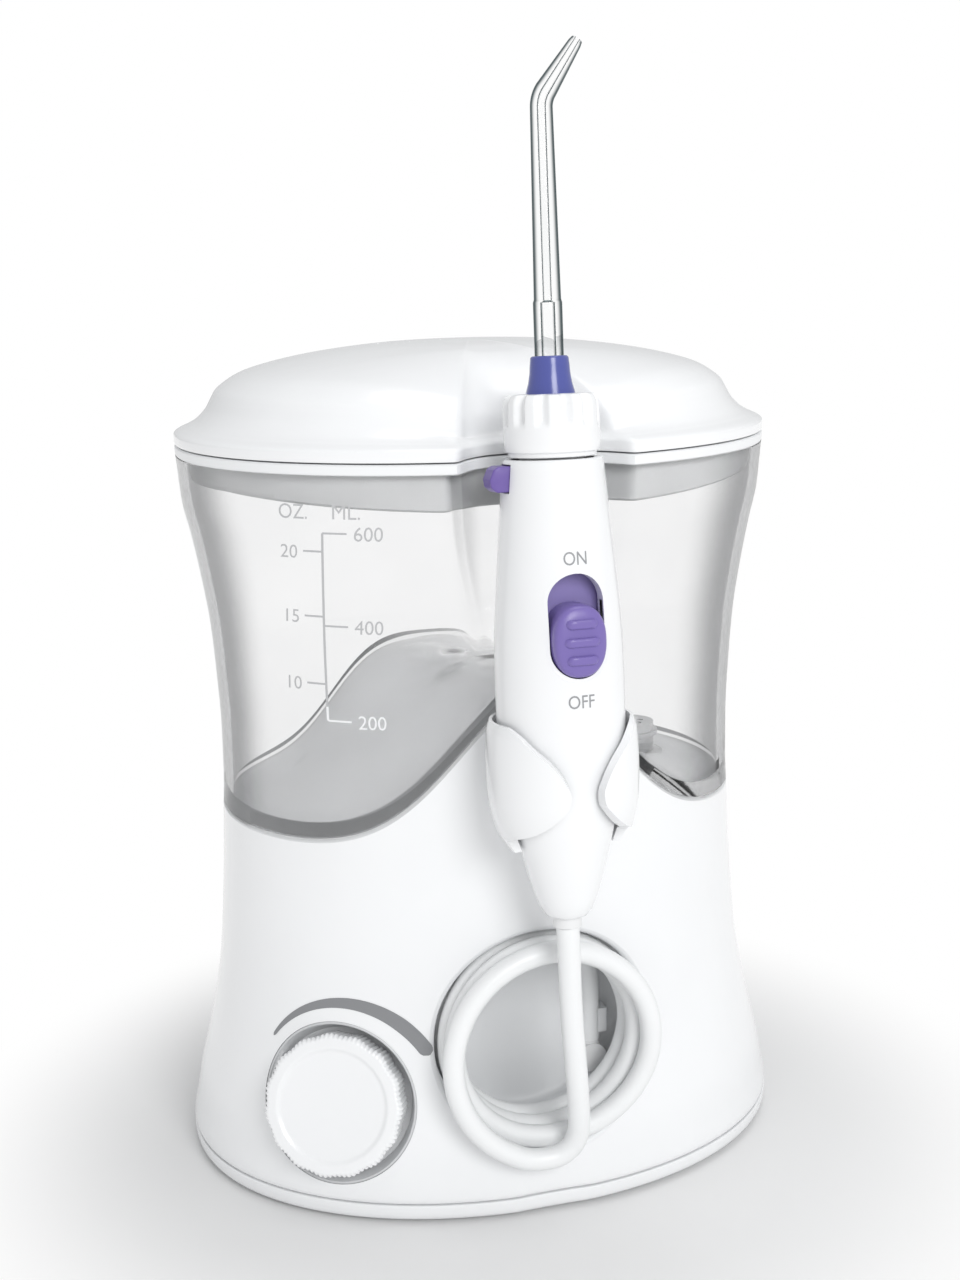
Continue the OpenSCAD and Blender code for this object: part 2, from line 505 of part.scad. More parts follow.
module lid_cover() color(white) pl() difference() {
    union() {
        loft(concat([for (k = [len(LID) - 1 : -1 : 3]) lring(LID[k][0], LID[k][1] - 2, LID[k][0] * 1.4)],
            [lring(1, 176.8, 5.2), lring(1, 174.4, 5.2)],
            [for (l = LID) lring(l[0], l[1], 0)]), [0, 0, 194.4], [0, 0, 196.5]);
        translate([-10, 57.6, 174.6]) cube([20, 4, 2]);
        xcyl(4.4, -10, 10, hy, hz);
    }
    xcyl(2.2, -30, 30, hy, hz);
}
module lid_hinge_pin() color(steel) pl() xcyl(2, -20, 20, hy, hz);

// ---------------------------------------------------------------- hand piece
HPF = [[0, 4.3], [1.4, 5.4], [7.4, 7.6], [15, 9.6], [25, 11.8], [34, 13.1], [41, grip_r - 0.1], [47, grip_r],
    [52, grip_r], [58.5, grip_r - 0.1], [76, grip_r - 1.3], [90, grip_r - 2.5], [98, grip_r - 3.2]];
module slot2d(w, l) { square([w, l - w], center = true);
    for (s = [-1, 1]) translate([0, s * (l - w) / 2]) circle(d = w); }
module fwd(w, y0, y1) translate([0, y1, w]) rotate([90, 0, 0]) linear_extrude(y1 - y0) children();
module grip(front) hp() difference() {
    rotate_extrude($fn = 72) polygon(concat([for (p = HPF) [p[1], p[0]]],
        [[grip_r - 3.2 - grip_wall, 98], [grip_r - 2.6 - grip_wall, 91], [7.4, 91], [7.4, 89.7], [grip_r - 2.4 - grip_wall, 89.7]],
        [for (k = [10 : -1 : 2]) [HPF[k][1] - grip_wall, HPF[k][0]]], [[3.1, 3], [3.1, 0]]));
    translate([-30, front ? 0 : -60, -5]) cube([60, 60, 120]);
    fwd(64.4, -20, -5) slot2d(12, 21.5);
    translate([-16, -3.1, 91.3]) cube([10, 6.2, 5.9]);
}
module handle_front() color(white) grip(true);
module handle_rear() color(white) grip(false);
module nozzle_collar() color(white) hp() difference() {
    union() { translate([0, 0, 98.4]) cylinder(d1 = 18.4, d2 = 18.4, h = 1.1); translate([0, 0, 99.4]) cylinder(d = 20, h = 11);
        translate([0, 0, 110.39]) cylinder(d1 = 20, d2 = 17.6, h = 0.8); }
    translate([0, 0, 98]) cylinder(d = 13.8, h = 6);
    translate([0, 0, 98]) cylinder(d = 6.4, h = 20);
    translate([0, 0, 109.4]) cylinder(d = 11.6, h = 3);
    for (a = [0 : 30 : 359]) rotate(a) translate([10.9, 0, 105.4]) cylinder(d = 4, h = 7, $fn = 24);
}
module tip_socket() color(nylon) hp() difference() {
    union() { translate([0, 0, 89.5]) cylinder(d = 13.8, h = 14.5); translate([0, 0, 87.6]) cylinder(d = 16.6, h = 1.95);
        translate([0, 0, 84.5]) cylinder(d = 7, h = 3.2); }
    translate([0, 0, 92]) cylinder(d = 6.4, h = 20);
    translate([0, 0, 80]) cylinder(d = 2.4, h = 20);
    translate([0, 0, 95.4]) cylinder(d = 8.2, h = 1.8);
}
module socket_o_ring() color(rubber) hp() translate([0, 0, 95.5]) difference() {
    cylinder(d = 8.2, h = 1.6); translate([0, 0, -1]) cylinder(d = 6.3, h = 4); }
module eject_button() color(purple) hp() difference() {
    union() { translate([-13.4, -2.8, 91.6]) cube([4.5, 5.6, 5.3]); translate([-14.4, -2.2, 92.2]) cube([2, 4.4, 4.1]); }
    translate([-17.6, -5, 89.4]) rotate([0, 38, 0]) cube([4, 10, 4]);
}
module eject_spring() color(steel) hp() translate([0, 0, 93.2]) rotate([0, 0, 60]) rotate_extrude(angle = 240)
    translate([8.3, 0]) square([0.45, 2]);
module slide_button() color(purple) hp() difference() {
    union() {
        fwd(61.4, -15, -7.1) slot2d(11.2, 14.8);
        fwd(61.4, -15.5, -14.9) slot2d(9.8, 13.4);
        for (k = [-1 : 1]) fwd(61.4 + 3.7 * k, -16, -15.4) slot2d_h(6.4 - abs(k), 1.6);
        translate([-6.5, -7.2, 46.5]) cube([13, 1, 30]);
        translate([-1.2, -6.3, 60]) cube([2.4, 5.9, 3]);
    }
}
module slot2d_h(l, w) { square([l - w, w], center = true);
    for (s = [-1, 1]) translate([s * (l - w) / 2, 0]) circle(d = w, $fn = 24); }
module shutoff_body() color(soft) hp() translate([0, 1, 0]) difference() {
    union() { translate([0, 0, 47]) cylinder(d = 9, h = 34); translate([0, 0, 47]) cylinder(d = 11, h = 2);
        translate([-11.85, -1, 49]) cube([23.7, 2, 3]); }
    translate([0, 0, 49]) cylinder(d = 5.2, h = 30);
    translate([0, 0, 40]) cylinder(d = 2.4, h = 60);
    translate([-1.7, -10, 59]) cube([3.4, 10, 11.6]);
}
module shutoff_spool() color(steel) hp() translate([0, 1, 0]) difference() {
    translate([0, 0, 51]) cylinder(d = 5.1, h = 20);
    translate([0, 0, 60]) difference() { cylinder(d = 8, h = 3); translate([0, 0, -1]) cylinder(d = 2.8, h = 5); }
    for (z = [53, 67]) translate([0, 0, z]) difference() { cylinder(d = 8, h = 1.2); translate([0, 0, -1]) cylinder(d = 3.6, h = 4); }
}
module handle_tube() color(nylon) hp() {
    translate([0, 0, 12]) difference() { cylinder(d = 5, h = 35); translate([0, 0, -1]) cylinder(d = 2.4, h = 40); }
    translate([0, 1, 81]) difference() { cylinder(d = 5, h = 3.2); translate([0, 0, -1]) cylinder(d = 2.4, h = 40); }
}
module hose_barb() color(soft) hp() difference() {
    union() { translate([0, 0, -2.5]) cylinder(d = 6.2, h = 14.5); translate([0, 0, 7.6]) cylinder(d = 9, h = 1.6); }
    translate([0, 0, -5]) cylinder(d = 2.2, h = 20);
}
module tip_ring() color([0.42, 0.44, 0.72]) hp() difference() {
    union() { translate([0, 0, 109.6]) cylinder(d = 10.6, h = 1.7); translate([0, 0, 111.29]) cylinder(d1 = 10.6, d2 = 8.4, h = 3.6);
        translate([0, 0, 114.88]) cylinder(d1 = 8.4, d2 = 7.6, h = 4); }
    translate([0, 0, 100]) cylinder(d = 6, h = 30);
}
module jet_tip() color([0.9, 0.93, 0.95, 0.5]) hp() difference() {
    union() {
        translate([0, 0, 97.6]) cylinder(d = 6, h = 32.4);
        translate([0, 0, 129.9]) cylinder(d1 = 5.6, d2 = 4.5, h = 40);
        translate([0, 0, 169.9]) sphere(d = 5);
        translate([0, 0, 169.9]) rotate([0, tip_bend, 0]) cylinder(d1 = 4.6, d2 = 2.6, h = 12.4);
    }
    translate([0, 0, 90]) cylinder(d = 3, h = 40);
    translate([0, 0, 129]) cylinder(d = 1.8, h = 40.9);
    translate([0, 0, 169.9]) sphere(d = 2.3);
    translate([0, 0, 169.9]) rotate([0, tip_bend, 0]) cylinder(d = 1.2, h = 14);
}
lc = [0, -59, 40]; // front loop centre
module hose_drop() color(white) pl() hose([[0, -67.2, 74], [0.35, -67.2, 66], [1.1, -66.8, 51], [2.8, -65.1, 35],
    [3.6, -63.5, 24.5], [2.4, -62.2, 19.4], [-1, -61.7, 17]], hose_d, 5);
module hose_loop() color(white) pl() {
    translate(lc) rotate([-96, 0, 0]) rotate_extrude($fn = 96) translate([24, 0]) circle(d = hose_d, $fn = 24);
    hose([[22.6, -60, 32], [20, -57.4, 28.8], [16.8, -54.2, 25.8], [13, -50.2, 23.2]], hose_d - 0.2, 5);
}
module hose_coil() color(white) pl() translate([0, -38, pocket_z]) rotate([90, 0, 0]) rotate_extrude($fn = 72)
    polygon([[17.7, 0.6], [20.4, 0], [22.2, 0], [24.2, 1.4], [24.9, 2.8], [24.9, 10.8], [24, 12.8], [21.8, 13.4],
        [19.6, 13], [18.2, 11.4], [17.7, 8.6]]);
module hose_tail() color(white) pl() hose([[16.5, -34.8, 32.5], [16.5, -34.8, 38], [16.5, -34.9, 44], [15.9, -35.6, 49.5],
    [13.6, -37.4, 54.6], [9.4, -40, 59.6]], hose_d, 4);

main_housing();
bottom_plate();
rubber_feet();
housing_screws();
power_inlet();
dial_bezel();
dial_knob();
regulator_spindle();
regulator_body();
hose_nipple();
hose_clip();
handle_holder();
motor_can();
motor_rotor();
motor_pinion();
pump_frame();
gear_axle();
drive_gear();
piston_rod();
piston_seal();
pump_cylinder();
valve_head();
check_valves();
pump_screws();
rubber_mounts();
control_board();
inlet_tube();
outlet_tube();
supply_tube();
tank_port();
tank_port_seal();
water_tank();
tank_valve_body();
tank_valve_plunger();
tank_valve_spring();
tip_tray();
lid_cover();
lid_hinge_pin();
handle_front();
handle_rear();
nozzle_collar();
tip_socket();
socket_o_ring();
eject_button();
eject_spring();
slide_button();
shutoff_body();
shutoff_spool();
handle_tube();
hose_barb();
tip_ring();
jet_tip();
hose_drop();
hose_loop();
hose_coil();
hose_tail();
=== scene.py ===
import bpy
import math
import numpy as np
from mathutils import Matrix, Vector


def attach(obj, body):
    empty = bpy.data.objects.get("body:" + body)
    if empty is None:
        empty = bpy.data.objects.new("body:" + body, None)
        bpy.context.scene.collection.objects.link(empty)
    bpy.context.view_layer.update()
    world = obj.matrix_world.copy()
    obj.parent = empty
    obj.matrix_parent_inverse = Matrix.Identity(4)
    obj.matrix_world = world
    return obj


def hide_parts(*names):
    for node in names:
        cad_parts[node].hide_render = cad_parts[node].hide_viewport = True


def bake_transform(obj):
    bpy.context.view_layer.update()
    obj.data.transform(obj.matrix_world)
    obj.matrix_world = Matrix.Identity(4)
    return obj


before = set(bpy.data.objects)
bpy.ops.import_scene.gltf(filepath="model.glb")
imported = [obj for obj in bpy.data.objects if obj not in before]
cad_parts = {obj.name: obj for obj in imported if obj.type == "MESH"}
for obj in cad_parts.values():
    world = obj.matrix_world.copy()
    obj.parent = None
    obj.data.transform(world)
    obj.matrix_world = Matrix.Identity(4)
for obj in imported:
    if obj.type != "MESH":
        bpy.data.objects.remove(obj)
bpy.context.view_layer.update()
FY = 8.3
scene = bpy.context.scene

# ------------------------------------------------------------------ camera
cam_data = bpy.data.cameras.new("camera")
cam = bpy.data.objects.new("camera", cam_data)
scene.collection.objects.link(cam)
scene.camera = cam
cam_data.lens = 49.13
cam_data.sensor_width = 36
cam_data.sensor_fit = "AUTO"
cam_data.clip_start, cam_data.clip_end = 0.01, 20
cam_data.shift_x = 0.0
az, pitch, roll = math.radians(-16.25), math.radians(12.76), math.radians(-1.10)
loc = Vector((-0.1171, -0.3934, 0.2181))
fwdv = Vector((0.276, 0.936, -0.221)).normalized()
right = fwdv.cross(Vector((0, 0, 1))).normalized()
up = right.cross(fwdv)
r2 = right * math.cos(roll) + up * math.sin(roll)
u2 = -right * math.sin(roll) + up * math.cos(roll)
cam.matrix_world = Matrix(((r2.x, u2.x, -fwdv.x, loc.x), (r2.y, u2.y, -fwdv.y, loc.y),
                           (r2.z, u2.z, -fwdv.z, loc.z), (0, 0, 0, 1)))


# ------------------------------------------------------------------ maths
def pchip(xs, ys, x):
    xs, ys, x = np.asarray(xs, float), np.asarray(ys, float), np.asarray(x, float)
    h, d = np.diff(xs), np.diff(ys) / np.diff(xs)
    m = np.zeros_like(ys)
    for i in range(1, len(xs) - 1):
        if d[i - 1] * d[i] > 0:
            w1, w2 = 2 * h[i] + h[i - 1], h[i] + 2 * h[i - 1]
            m[i] = (w1 + w2) / (w1 / d[i - 1] + w2 / d[i])
    m[0], m[-1] = d[0], d[-1]
    k = np.clip(np.searchsorted(xs, x) - 1, 0, len(xs) - 2)
    t = (np.clip(x, xs[0], xs[-1]) - xs[k]) / h[k]
    return ((2 * t**3 - 3 * t**2 + 1) * ys[k] + (t**3 - 2 * t**2 + t) * h[k] * m[k]
            + (3 * t**2 - 2 * t**3) * ys[k + 1] + (t**3 - t**2) * h[k] * m[k + 1])


def crom(p, n):
    """smooth curve through the points p, n steps between each pair"""
    p = np.asarray(p, float)
    q = np.vstack([2 * p[0] - p[1], p, 2 * p[-1] - p[-2]])
    out = []
    for i in range(len(p) - 1):
        a, b, c, d = q[i], q[i + 1], q[i + 2], q[i + 3]
        for j in range(n):
            t = j / n
            out.append(0.5 * ((2 * b) + (c - a) * t + (2 * a - 5 * b + 4 * c - d) * t * t + (3 * b - a - 3 * c + d) * t**3))
    out.append(p[-1])
    return np.array(out)


# half width and half depth of the body at each height, in millimetres
PROF = np.array([
    [0, 74.5, 57.8], [5.4, 74.4, 57.7], [12, 73.2, 57.0], [18.5, 72.0, 56.2], [25.5, 70.2, 55.0],
    [36, 67.8, 53.3], [50, 65.5, 51.6], [62, 64.5, 50.8], [74, 63.7, 50.3], [85, 63.2, 50.0],
    [94, 62.7, 50.0], [106, 62.6, 50.2], [119, 63.1, 51.0], [131, 63.9, 52.2], [143.5, 65.6, 54.2],
    [154, 67.5, 56.2], [161, 69.0, 57.6], [168, 69.6, 58.4], [174, 70.0, 58.9], [200, 70.0, 58.9]])


def pa(z):
    return pchip(PROF[:, 0], PROF[:, 1], z)


def pb(z):
    return pchip(PROF[:, 0], PROF[:, 2], z)


def spow(v, e):
    return np.sign(v) * np.abs(v) ** e


def groove(x, z, t=0.0):
    return -49.5 + 0.075 * (np.minimum(z, 154) - 110) + t - 13.5 * (np.abs(x) / (20.6 + t)) ** 3


def smax(a, b, k=1.6):
    h = np.clip(0.5 + 0.5 * (a - b) / k, 0, 1)
    return b + (a - b) * h + k * h * (1 - h)


def angs(n):
    u = np.arange(n) * 360.0 / n
    return np.radians(-90 + u - 30 * np.sin(np.radians(u)))


def wall(q, z, t=0.0, s=1.0, ab=None, k=1.6):
    """a point of the wall's plan at height z, moved in by t, scaled by s"""
    a, b = (pa(z), pb(z)) if ab is None else ab
    x = (a - t) * s * spow(np.cos(q), 0.95)
    y0 = (b - t) * spow(np.sin(q), 0.95)
    y1 = np.where(y0 < 0, smax(y0, groove(x / s, z, t), k), y0)
    return np.stack([x, y1 * s, z + 0 * q], 1)


def saddle(x, y):
    f = np.clip((y + 51) / 101, 0, 1)
    return 88 + (35 - 10 * f) * np.exp(-(np.abs(x) / (25.5 + 4.5 * f)) ** (2 + 1.2 * f))


def seam(q, dz, t=0.0):
    h = np.full(q.shape, 95.0)
    for _ in range(40):
        p = wall(q, h, t)
        h = 0.4 * h + 0.6 * (saddle(p[:, 0], p[:, 1]) + dz)
    p = wall(q, h, t)
    return p


def cap(q, dz, t, s):
    p = seam(q, dz, t)
    x, y = p[:, 0] * s, p[:, 1] * s
    e = (p[:, 2] - (saddle(p[:, 0], p[:, 1]) + dz)) * s
    return np.stack([x, y, saddle(x, y) + dz + e], 1)


def ywall(x, z):
    """front wall's y at x and z"""
    r = np.clip(1 - np.abs(x / pa(z)) ** (2 / 0.95), 0, 1)
    y0 = -pb(z) * r ** (0.95 / 2)
    return smax(y0, groove(x, z))


def outside(p):
    """above 0 outside the body's wall"""
    x, y, z = p[..., 0], p[..., 1], p[..., 2]
    f = np.abs(x / pa(z)) ** (2 / 0.95) + np.abs(y / pb(z)) ** (2 / 0.95) - 1
    g = (groove(x, z) - y) / 50
    return np.where(y < 0, np.maximum(f, g), f)


def onto(o, n, lo=-30.0, hi=30.0):
    """slides the points o along n onto the body's wall"""
    a, b = np.full(o.shape[:-1], lo), np.full(o.shape[:-1], hi)
    for _ in range(36):
        m = (a + b) / 2
        out = outside(o + m[..., None] * n) > 0
        b, a = np.where(out, m, b), np.where(out, a, m)
    return o + ((a + b) / 2)[..., None] * n


LEAN = math.radians(4)


def hp(p):
    p = np.asarray(p, float).reshape(-1, 3)
    y = p[:, 1] * math.cos(LEAN) + p[:, 2] * math.sin(LEAN)
    z = -p[:, 1] * math.sin(LEAN) + p[:, 2] * math.cos(LEAN)
    return np.stack([p[:, 0], y - 67, z + 77], 1)


_t, _l = math.radians(-28), math.radians(74)
DC = np.array([-46.5, -40.6, 27.5])
RZ = np.array([[math.cos(_t), -math.sin(_t), 0], [math.sin(_t), math.cos(_t), 0], [0, 0, 1]])
RX = np.array([[1, 0, 0], [0, math.cos(_l), -math.sin(_l)], [0, math.sin(_l), math.cos(_l)]])
DR = RZ @ RX
DN = DR[:, 2]


def dl(p):
    return np.asarray(p, float).reshape(-1, 3) @ DR.T + DC


# ------------------------------------------------------------------ materials
def nodes_of(m):
    m.use_nodes = True
    nt = m.node_tree
    return nt, nt.nodes["Principled BSDF"]


def plastic(name, col, rough=0.3, vary=0.02, bump=0.03, grain=1400.0, coat=0.0, metal=0.0, wear=0.0):
    """moulded plastic, rubber or metal: slight mottling, uneven gloss and a fine moulded grain"""
    m = bpy.data.materials.new(name)
    nt, b = nodes_of(m)
    tc = nt.nodes.new("ShaderNodeTexCoord")
    big = nt.nodes.new("ShaderNodeTexNoise")
    big.inputs["Scale"].default_value = 38
    big.inputs["Detail"].default_value = 4
    nt.links.new(tc.outputs["Object"], big.inputs["Vector"])
    ramp = nt.nodes.new("ShaderNodeValToRGB")
    ramp.color_ramp.elements[0].position = 0.3
    ramp.color_ramp.elements[1].position = 0.72
    ramp.color_ramp.elements[0].color = [max(0, c * (1 - vary)) for c in col] + [1]
    ramp.color_ramp.elements[1].color = [min(1, c * (1 + vary)) for c in col] + [1]
    nt.links.new(big.outputs["Fac"], ramp.inputs["Fac"])
    nt.links.new(ramp.outputs["Color"], b.inputs["Base Color"])
    mr = nt.nodes.new("ShaderNodeMapRange")
    mr.inputs["To Min"].default_value = max(0.02, rough - 0.05)
    mr.inputs["To Max"].default_value = rough + 0.05
    nt.links.new(big.outputs["Fac"], mr.inputs["Value"])
    nt.links.new(mr.outputs["Result"], b.inputs["Roughness"])
    fine = nt.nodes.new("ShaderNodeTexNoise")
    fine.inputs["Scale"].default_value = grain
    fine.inputs["Detail"].default_value = 3
    nt.links.new(tc.outputs["Object"], fine.inputs["Vector"])
    bp = nt.nodes.new("ShaderNodeBump")
    bp.inputs["Strength"].default_value = bump
    bp.inputs["Distance"].default_value = 0.0003
    nt.links.new(fine.outputs["Fac"], bp.inputs["Height"])
    nt.links.new(bp.outputs["Normal"], b.inputs["Normal"])
    b.inputs["Metallic"].default_value = metal
    b.inputs["Coat Weight"].default_value = coat
    b.inputs["Coat Roughness"].default_value = 0.08
    return m


def clear(name, col, rough=0.02, ior=1.45, density=0.0, tint=(0.5, 0.5, 0.5), vary=0.02, coat=0.0, edge_painted_shade=None, through=(0.93, 0.93, 0.93),
          bump=0.01):
    """clear moulded plastic with faint flow marks; with an edge colour given, the base colour darkens towards grazing
    angles as painted shade
    """
    m = plastic(name, col, rough=rough, vary=vary, bump=bump, grain=260.0)
    nt, b = nodes_of(m)
    for l in list(nt.links):
        if l.to_socket == b.inputs["Roughness"]:
            l.from_node.inputs["To Min"].default_value = max(0.0, rough - 0.01)
            l.from_node.inputs["To Max"].default_value = rough + 0.015
    b.inputs["Transmission Weight"].default_value = 1.0
    b.inputs["IOR"].default_value = ior
    if density > 0:
        va = nt.nodes.new("ShaderNodeVolumeAbsorption")
        va.inputs["Color"].default_value = (*tint, 1)
        va.inputs["Density"].default_value = density
        nt.links.new(va.outputs["Volume"], nt.nodes["Material Output"].inputs["Volume"])
    b.inputs["Coat Weight"].default_value = coat
    b.inputs["Coat Roughness"].default_value = 0.04
    # painted shade: the base colour is mixed towards the edge colour at grazing angles
    if edge_painted_shade is not None:
        lw = nt.nodes.new("ShaderNodeLayerWeight")
        lw.inputs["Blend"].default_value = 0.5
        fr = nt.nodes.new("ShaderNodeMapRange")
        fr.interpolation_type = "SMOOTHSTEP"
        fr.inputs["From Min"].default_value = edge_painted_shade[0]
        fr.inputs["From Max"].default_value = edge_painted_shade[1]
        nt.links.new(lw.outputs["Facing"], fr.inputs["Value"])
        mc = nt.nodes.new("ShaderNodeMix")
        mc.data_type = "RGBA"
        src = [l.from_socket for l in nt.links if l.to_socket == b.inputs["Base Color"]][0]
        nt.links.new(fr.outputs["Result"], mc.inputs["Factor"])
        nt.links.new(src, mc.inputs["A"])
        mc.inputs["B"].default_value = (*edge_painted_shade[2], 1)
        nt.links.new(mc.outputs["Result"], b.inputs["Base Color"])
    lp_ = nt.nodes.new("ShaderNodeLightPath")
    tr = nt.nodes.new("ShaderNodeBsdfTransparent")
    tr.inputs["Color"].default_value = (*through, 1)
    ms = nt.nodes.new("ShaderNodeMixShader")
    nt.links.new(lp_.outputs["Is Shadow Ray"], ms.inputs["Fac"])
    nt.links.new(b.outputs["BSDF"], ms.inputs[1])
    nt.links.new(tr.outputs["BSDF"], ms.inputs[2])
    nt.links.new(ms.outputs["Shader"], nt.nodes["Material Output"].inputs["Surface"])
    return m


M = {
    "white": plastic("moulded_white", (0.86, 0.868, 0.878), 0.24, 0.012, 0.02, 1600, coat=0.35),
    "white2": plastic("moulded_white_satin", (0.84, 0.85, 0.86), 0.36, 0.014, 0.05, 1900),
    "hose": plastic("hose_white_satin", (0.85, 0.86, 0.865), 0.38, 0.015, 0.03, 1500),
    # a darker copy of the white plastic: painted shade for the inside of the hose pocket
    "liner": plastic("moulded_white_painted_shade", (0.80, 0.81, 0.82), 0.40, 0.02, 0.04, 1500),
    "purple": plastic("switch_purple", (0.150, 0.098, 0.350), 0.34, 0.03, 0.05, 2200),
    "violet": plastic("switch_violet", (0.190, 0.142, 0.420), 0.34, 0.03, 0.05, 2200),
    "purple_dark": plastic("switch_violet_plate", (0.250, 0.205, 0.460), 0.40, 0.03, 0.05, 2200),
    "ring": plastic("tip_ring_blue_purple", (0.075, 0.092, 0.335), 0.22, 0.03, 0.02, 1500, coat=0.3),
    "valve": plastic("valve_smoke", (0.42, 0.424, 0.43), 0.35, 0.02, 0.03, 1500),
    "grey": plastic("dial_grey", (0.62, 0.628, 0.638), 0.42, 0.02, 0.05, 1700),
    "print": plastic("print_grey", (0.30, 0.305, 0.315), 0.5, 0.02, 0.02, 1500),
    "scale": plastic("print_light_grey", (0.47, 0.475, 0.485), 0.5, 0.02, 0.02, 1500),
    "mark": plastic("print_mid_grey", (0.24, 0.245, 0.255), 0.5, 0.03, 0.02, 1500),
    # tank: smoke tint in the volume, with painted shade greying the walls towards grazing angles
    "tank": clear("tank_clear_smoke", (0.985, 0.985, 0.987), 0.015, 1.035, density=20.0, tint=(0.30, 0.31, 0.32), coat=0.35,
                  edge_painted_shade=(0.36, 0.66, (0.60, 0.602, 0.606))),
    # the tank floor gets a darker base colour than the walls
    "floor": clear("tank_floor_darker_tint", (0.86, 0.862, 0.866), 0.05, 1.04, density=8.0, tint=(0.30, 0.31, 0.32), vary=0.03, coat=0.3),
    # darker material for the tank's lower rim: painted shade for the dark line at the seam
    "edge_painted_shade": clear("tank_lip_painted_shade", (0.66, 0.664, 0.67), 0.06, 1.04, density=8.0, tint=(0.30, 0.31, 0.32), vary=0.03, coat=0.3),
    # tip: painted shade darkens the clear tip towards grazing angles
    "tip": clear("tip_clear", (0.985, 0.99, 0.99), 0.01, 1.06, coat=0.2, edge_painted_shade=(0.16, 0.50, (0.07, 0.095, 0.10)), bump=0.0),
    # the tray's white plastic made grey: painted shade for the tray band seen through the tank
    "tray_band_painted_shade": plastic("tray_wall_painted_shade", (0.43, 0.435, 0.44), 0.36, 0.014, 0.05, 1900),
    "dark": plastic("moulded_dark", (0.035, 0.036, 0.04), 0.5, 0.08, 0.08, 1600),
    "nylon": plastic("nylon_natural", (0.72, 0.70, 0.62), 0.45, 0.03, 0.06, 1500),
    "soft": plastic("nylon_white", (0.78, 0.785, 0.79), 0.42, 0.02, 0.05, 1500),
    "rubber": plastic("rubber_black", (0.02, 0.02, 0.021), 0.7, 0.12, 0.12, 1100),
    "steel": plastic("steel_brushed", (0.56, 0.57, 0.58), 0.32, 0.05, 0.05, 2600, metal=1.0),
    "brass": plastic("brass_turned", (0.62, 0.45, 0.18), 0.3, 0.05, 0.05, 2400, metal=1.0),
    "board": plastic("board_green", (0.012, 0.09, 0.035), 0.35, 0.10, 0.10, 900),
}


# ------------------------------------------------------------------ mesh tools
def make(name, V, F, mats, body, repl=(), fm=None, sharp=32, raw=False):
    V = np.asarray(V, float)
    if not raw:
        V = V + np.array([0, FY, 0])
    me = bpy.data.meshes.new(name)
    me.from_pydata((V / 1000).tolist(), [], [list(map(int, f)) for f in F])
    me.validate(verbose=False)
    mats = mats if isinstance(mats, (list, tuple)) else [mats]
    for m in mats:
        me.materials.append(M[m])
    if fm is not None and len(fm) == len(me.polygons):
        me.polygons.foreach_set("material_index", np.asarray(fm, np.int32))
    me.update()
    ob = bpy.data.objects.new(name, me)
    scene.collection.objects.link(ob)
    finish_mesh(ob, sharp)
    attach(ob, body)
    if repl:
        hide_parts(*repl)
    return ob


def finish_mesh(ob, sharp=32):
    me = ob.data
    import bmesh
    bm = bmesh.new()
    bm.from_mesh(me)
    bmesh.ops.recalc_face_normals(bm, faces=bm.faces)
    bm.to_mesh(me)
    bm.free()
    me.shade_smooth()
    me.set_sharp_from_angle(angle=math.radians(sharp))


def loft(rings, c0=None, c1=None, closed=True):
    """quads between rings of points, with a fan at an end where a centre point is given"""
    n, V, F = len(rings[0]), [], []
    for r in rings:
        V.extend(np.asarray(r).tolist())
    last = n if closed else n - 1
    for k in range(len(rings) - 1):
        for i in range(last):
            j = (i + 1) % n
            F.append((k * n + i, k * n + j, (k + 1) * n + j, (k + 1) * n + i))
    if c0 is not None:
        V.append(list(c0))
        for i in range(last):
            F.append((len(V) - 1, (i + 1) % n, i))
    if c1 is not None:
        V.append(list(c1))
        o = (len(rings) - 1) * n
        for i in range(last):
            F.append((len(V) - 1, o + i, o + (i + 1) % n))
    return V, F


def join(*parts):
    V, F = [], []
    for v, f in parts:
        o = len(V)
        V.extend(np.asarray(v).tolist())
        F.extend([tuple(i + o for i in g) for g in f])
    return V, F


def revolve(prof, n=96, a0=0.0, a1=360.0, wave=None, closed_prof=False):
    """turns (radius, height) pairs round Z; closed profiles make a solid of part of a turn"""
    full = abs(a1 - a0) >= 359.9
    th = np.radians(np.linspace(a0, a1, n, endpoint=not full))
    rings = []
    for r, z in prof:
        rr = r + (wave(th, r, z) if wave else 0)
        rings.append(np.stack([rr * np.cos(th), rr * np.sin(th), z + 0 * th], 1))
    if closed_prof:
        rings.append(rings[0])
    V, F = loft(rings, closed=full)
    if closed_prof and not full:
        m = len(rings) - 1
        F.append(tuple(k * n for k in range(m)))
        F.append(tuple(k * n + n - 1 for k in range(m))[::-1])
    return V, F


def rounded(pts, r, n=4):
    """a closed or open profile with its corners rounded: each point is (x, z) or (x, z, radius)"""
    out, m = [], len(pts)
    P = [np.array(p[:2], float) for p in pts]
    for i in range(m):
        rr = pts[i][2] if len(pts[i]) > 2 else r
        if i in (0, m - 1) or rr <= 0:
            out.append(P[i])
            continue
        a, b = P[i - 1] - P[i], P[i + 1] - P[i]
        la, lb = np.linalg.norm(a), np.linalg.norm(b)
        d = min(rr, la * 0.45, lb * 0.45)
        p0, p1 = P[i] + a / la * d, P[i] + b / lb * d
        for k in range(n + 1):
            t = k / n
            out.append((1 - t) ** 2 * p0 + 2 * t * (1 - t) * P[i] + t * t * p1)
    return [tuple(p) for p in out]


def cutter(V, F):
    me = bpy.data.meshes.new("cut")
    V = np.asarray(V, float) + np.array([0, FY, 0])
    me.from_pydata((V / 1000).tolist(), [], [list(map(int, f)) for f in F])
    me.update()
    ob = bpy.data.objects.new("cut", me)
    scene.collection.objects.link(ob)
    import bmesh
    bm = bmesh.new()
    bm.from_mesh(me)
    bmesh.ops.recalc_face_normals(bm, faces=bm.faces)
    bm.to_mesh(me)
    bm.free()
    return ob


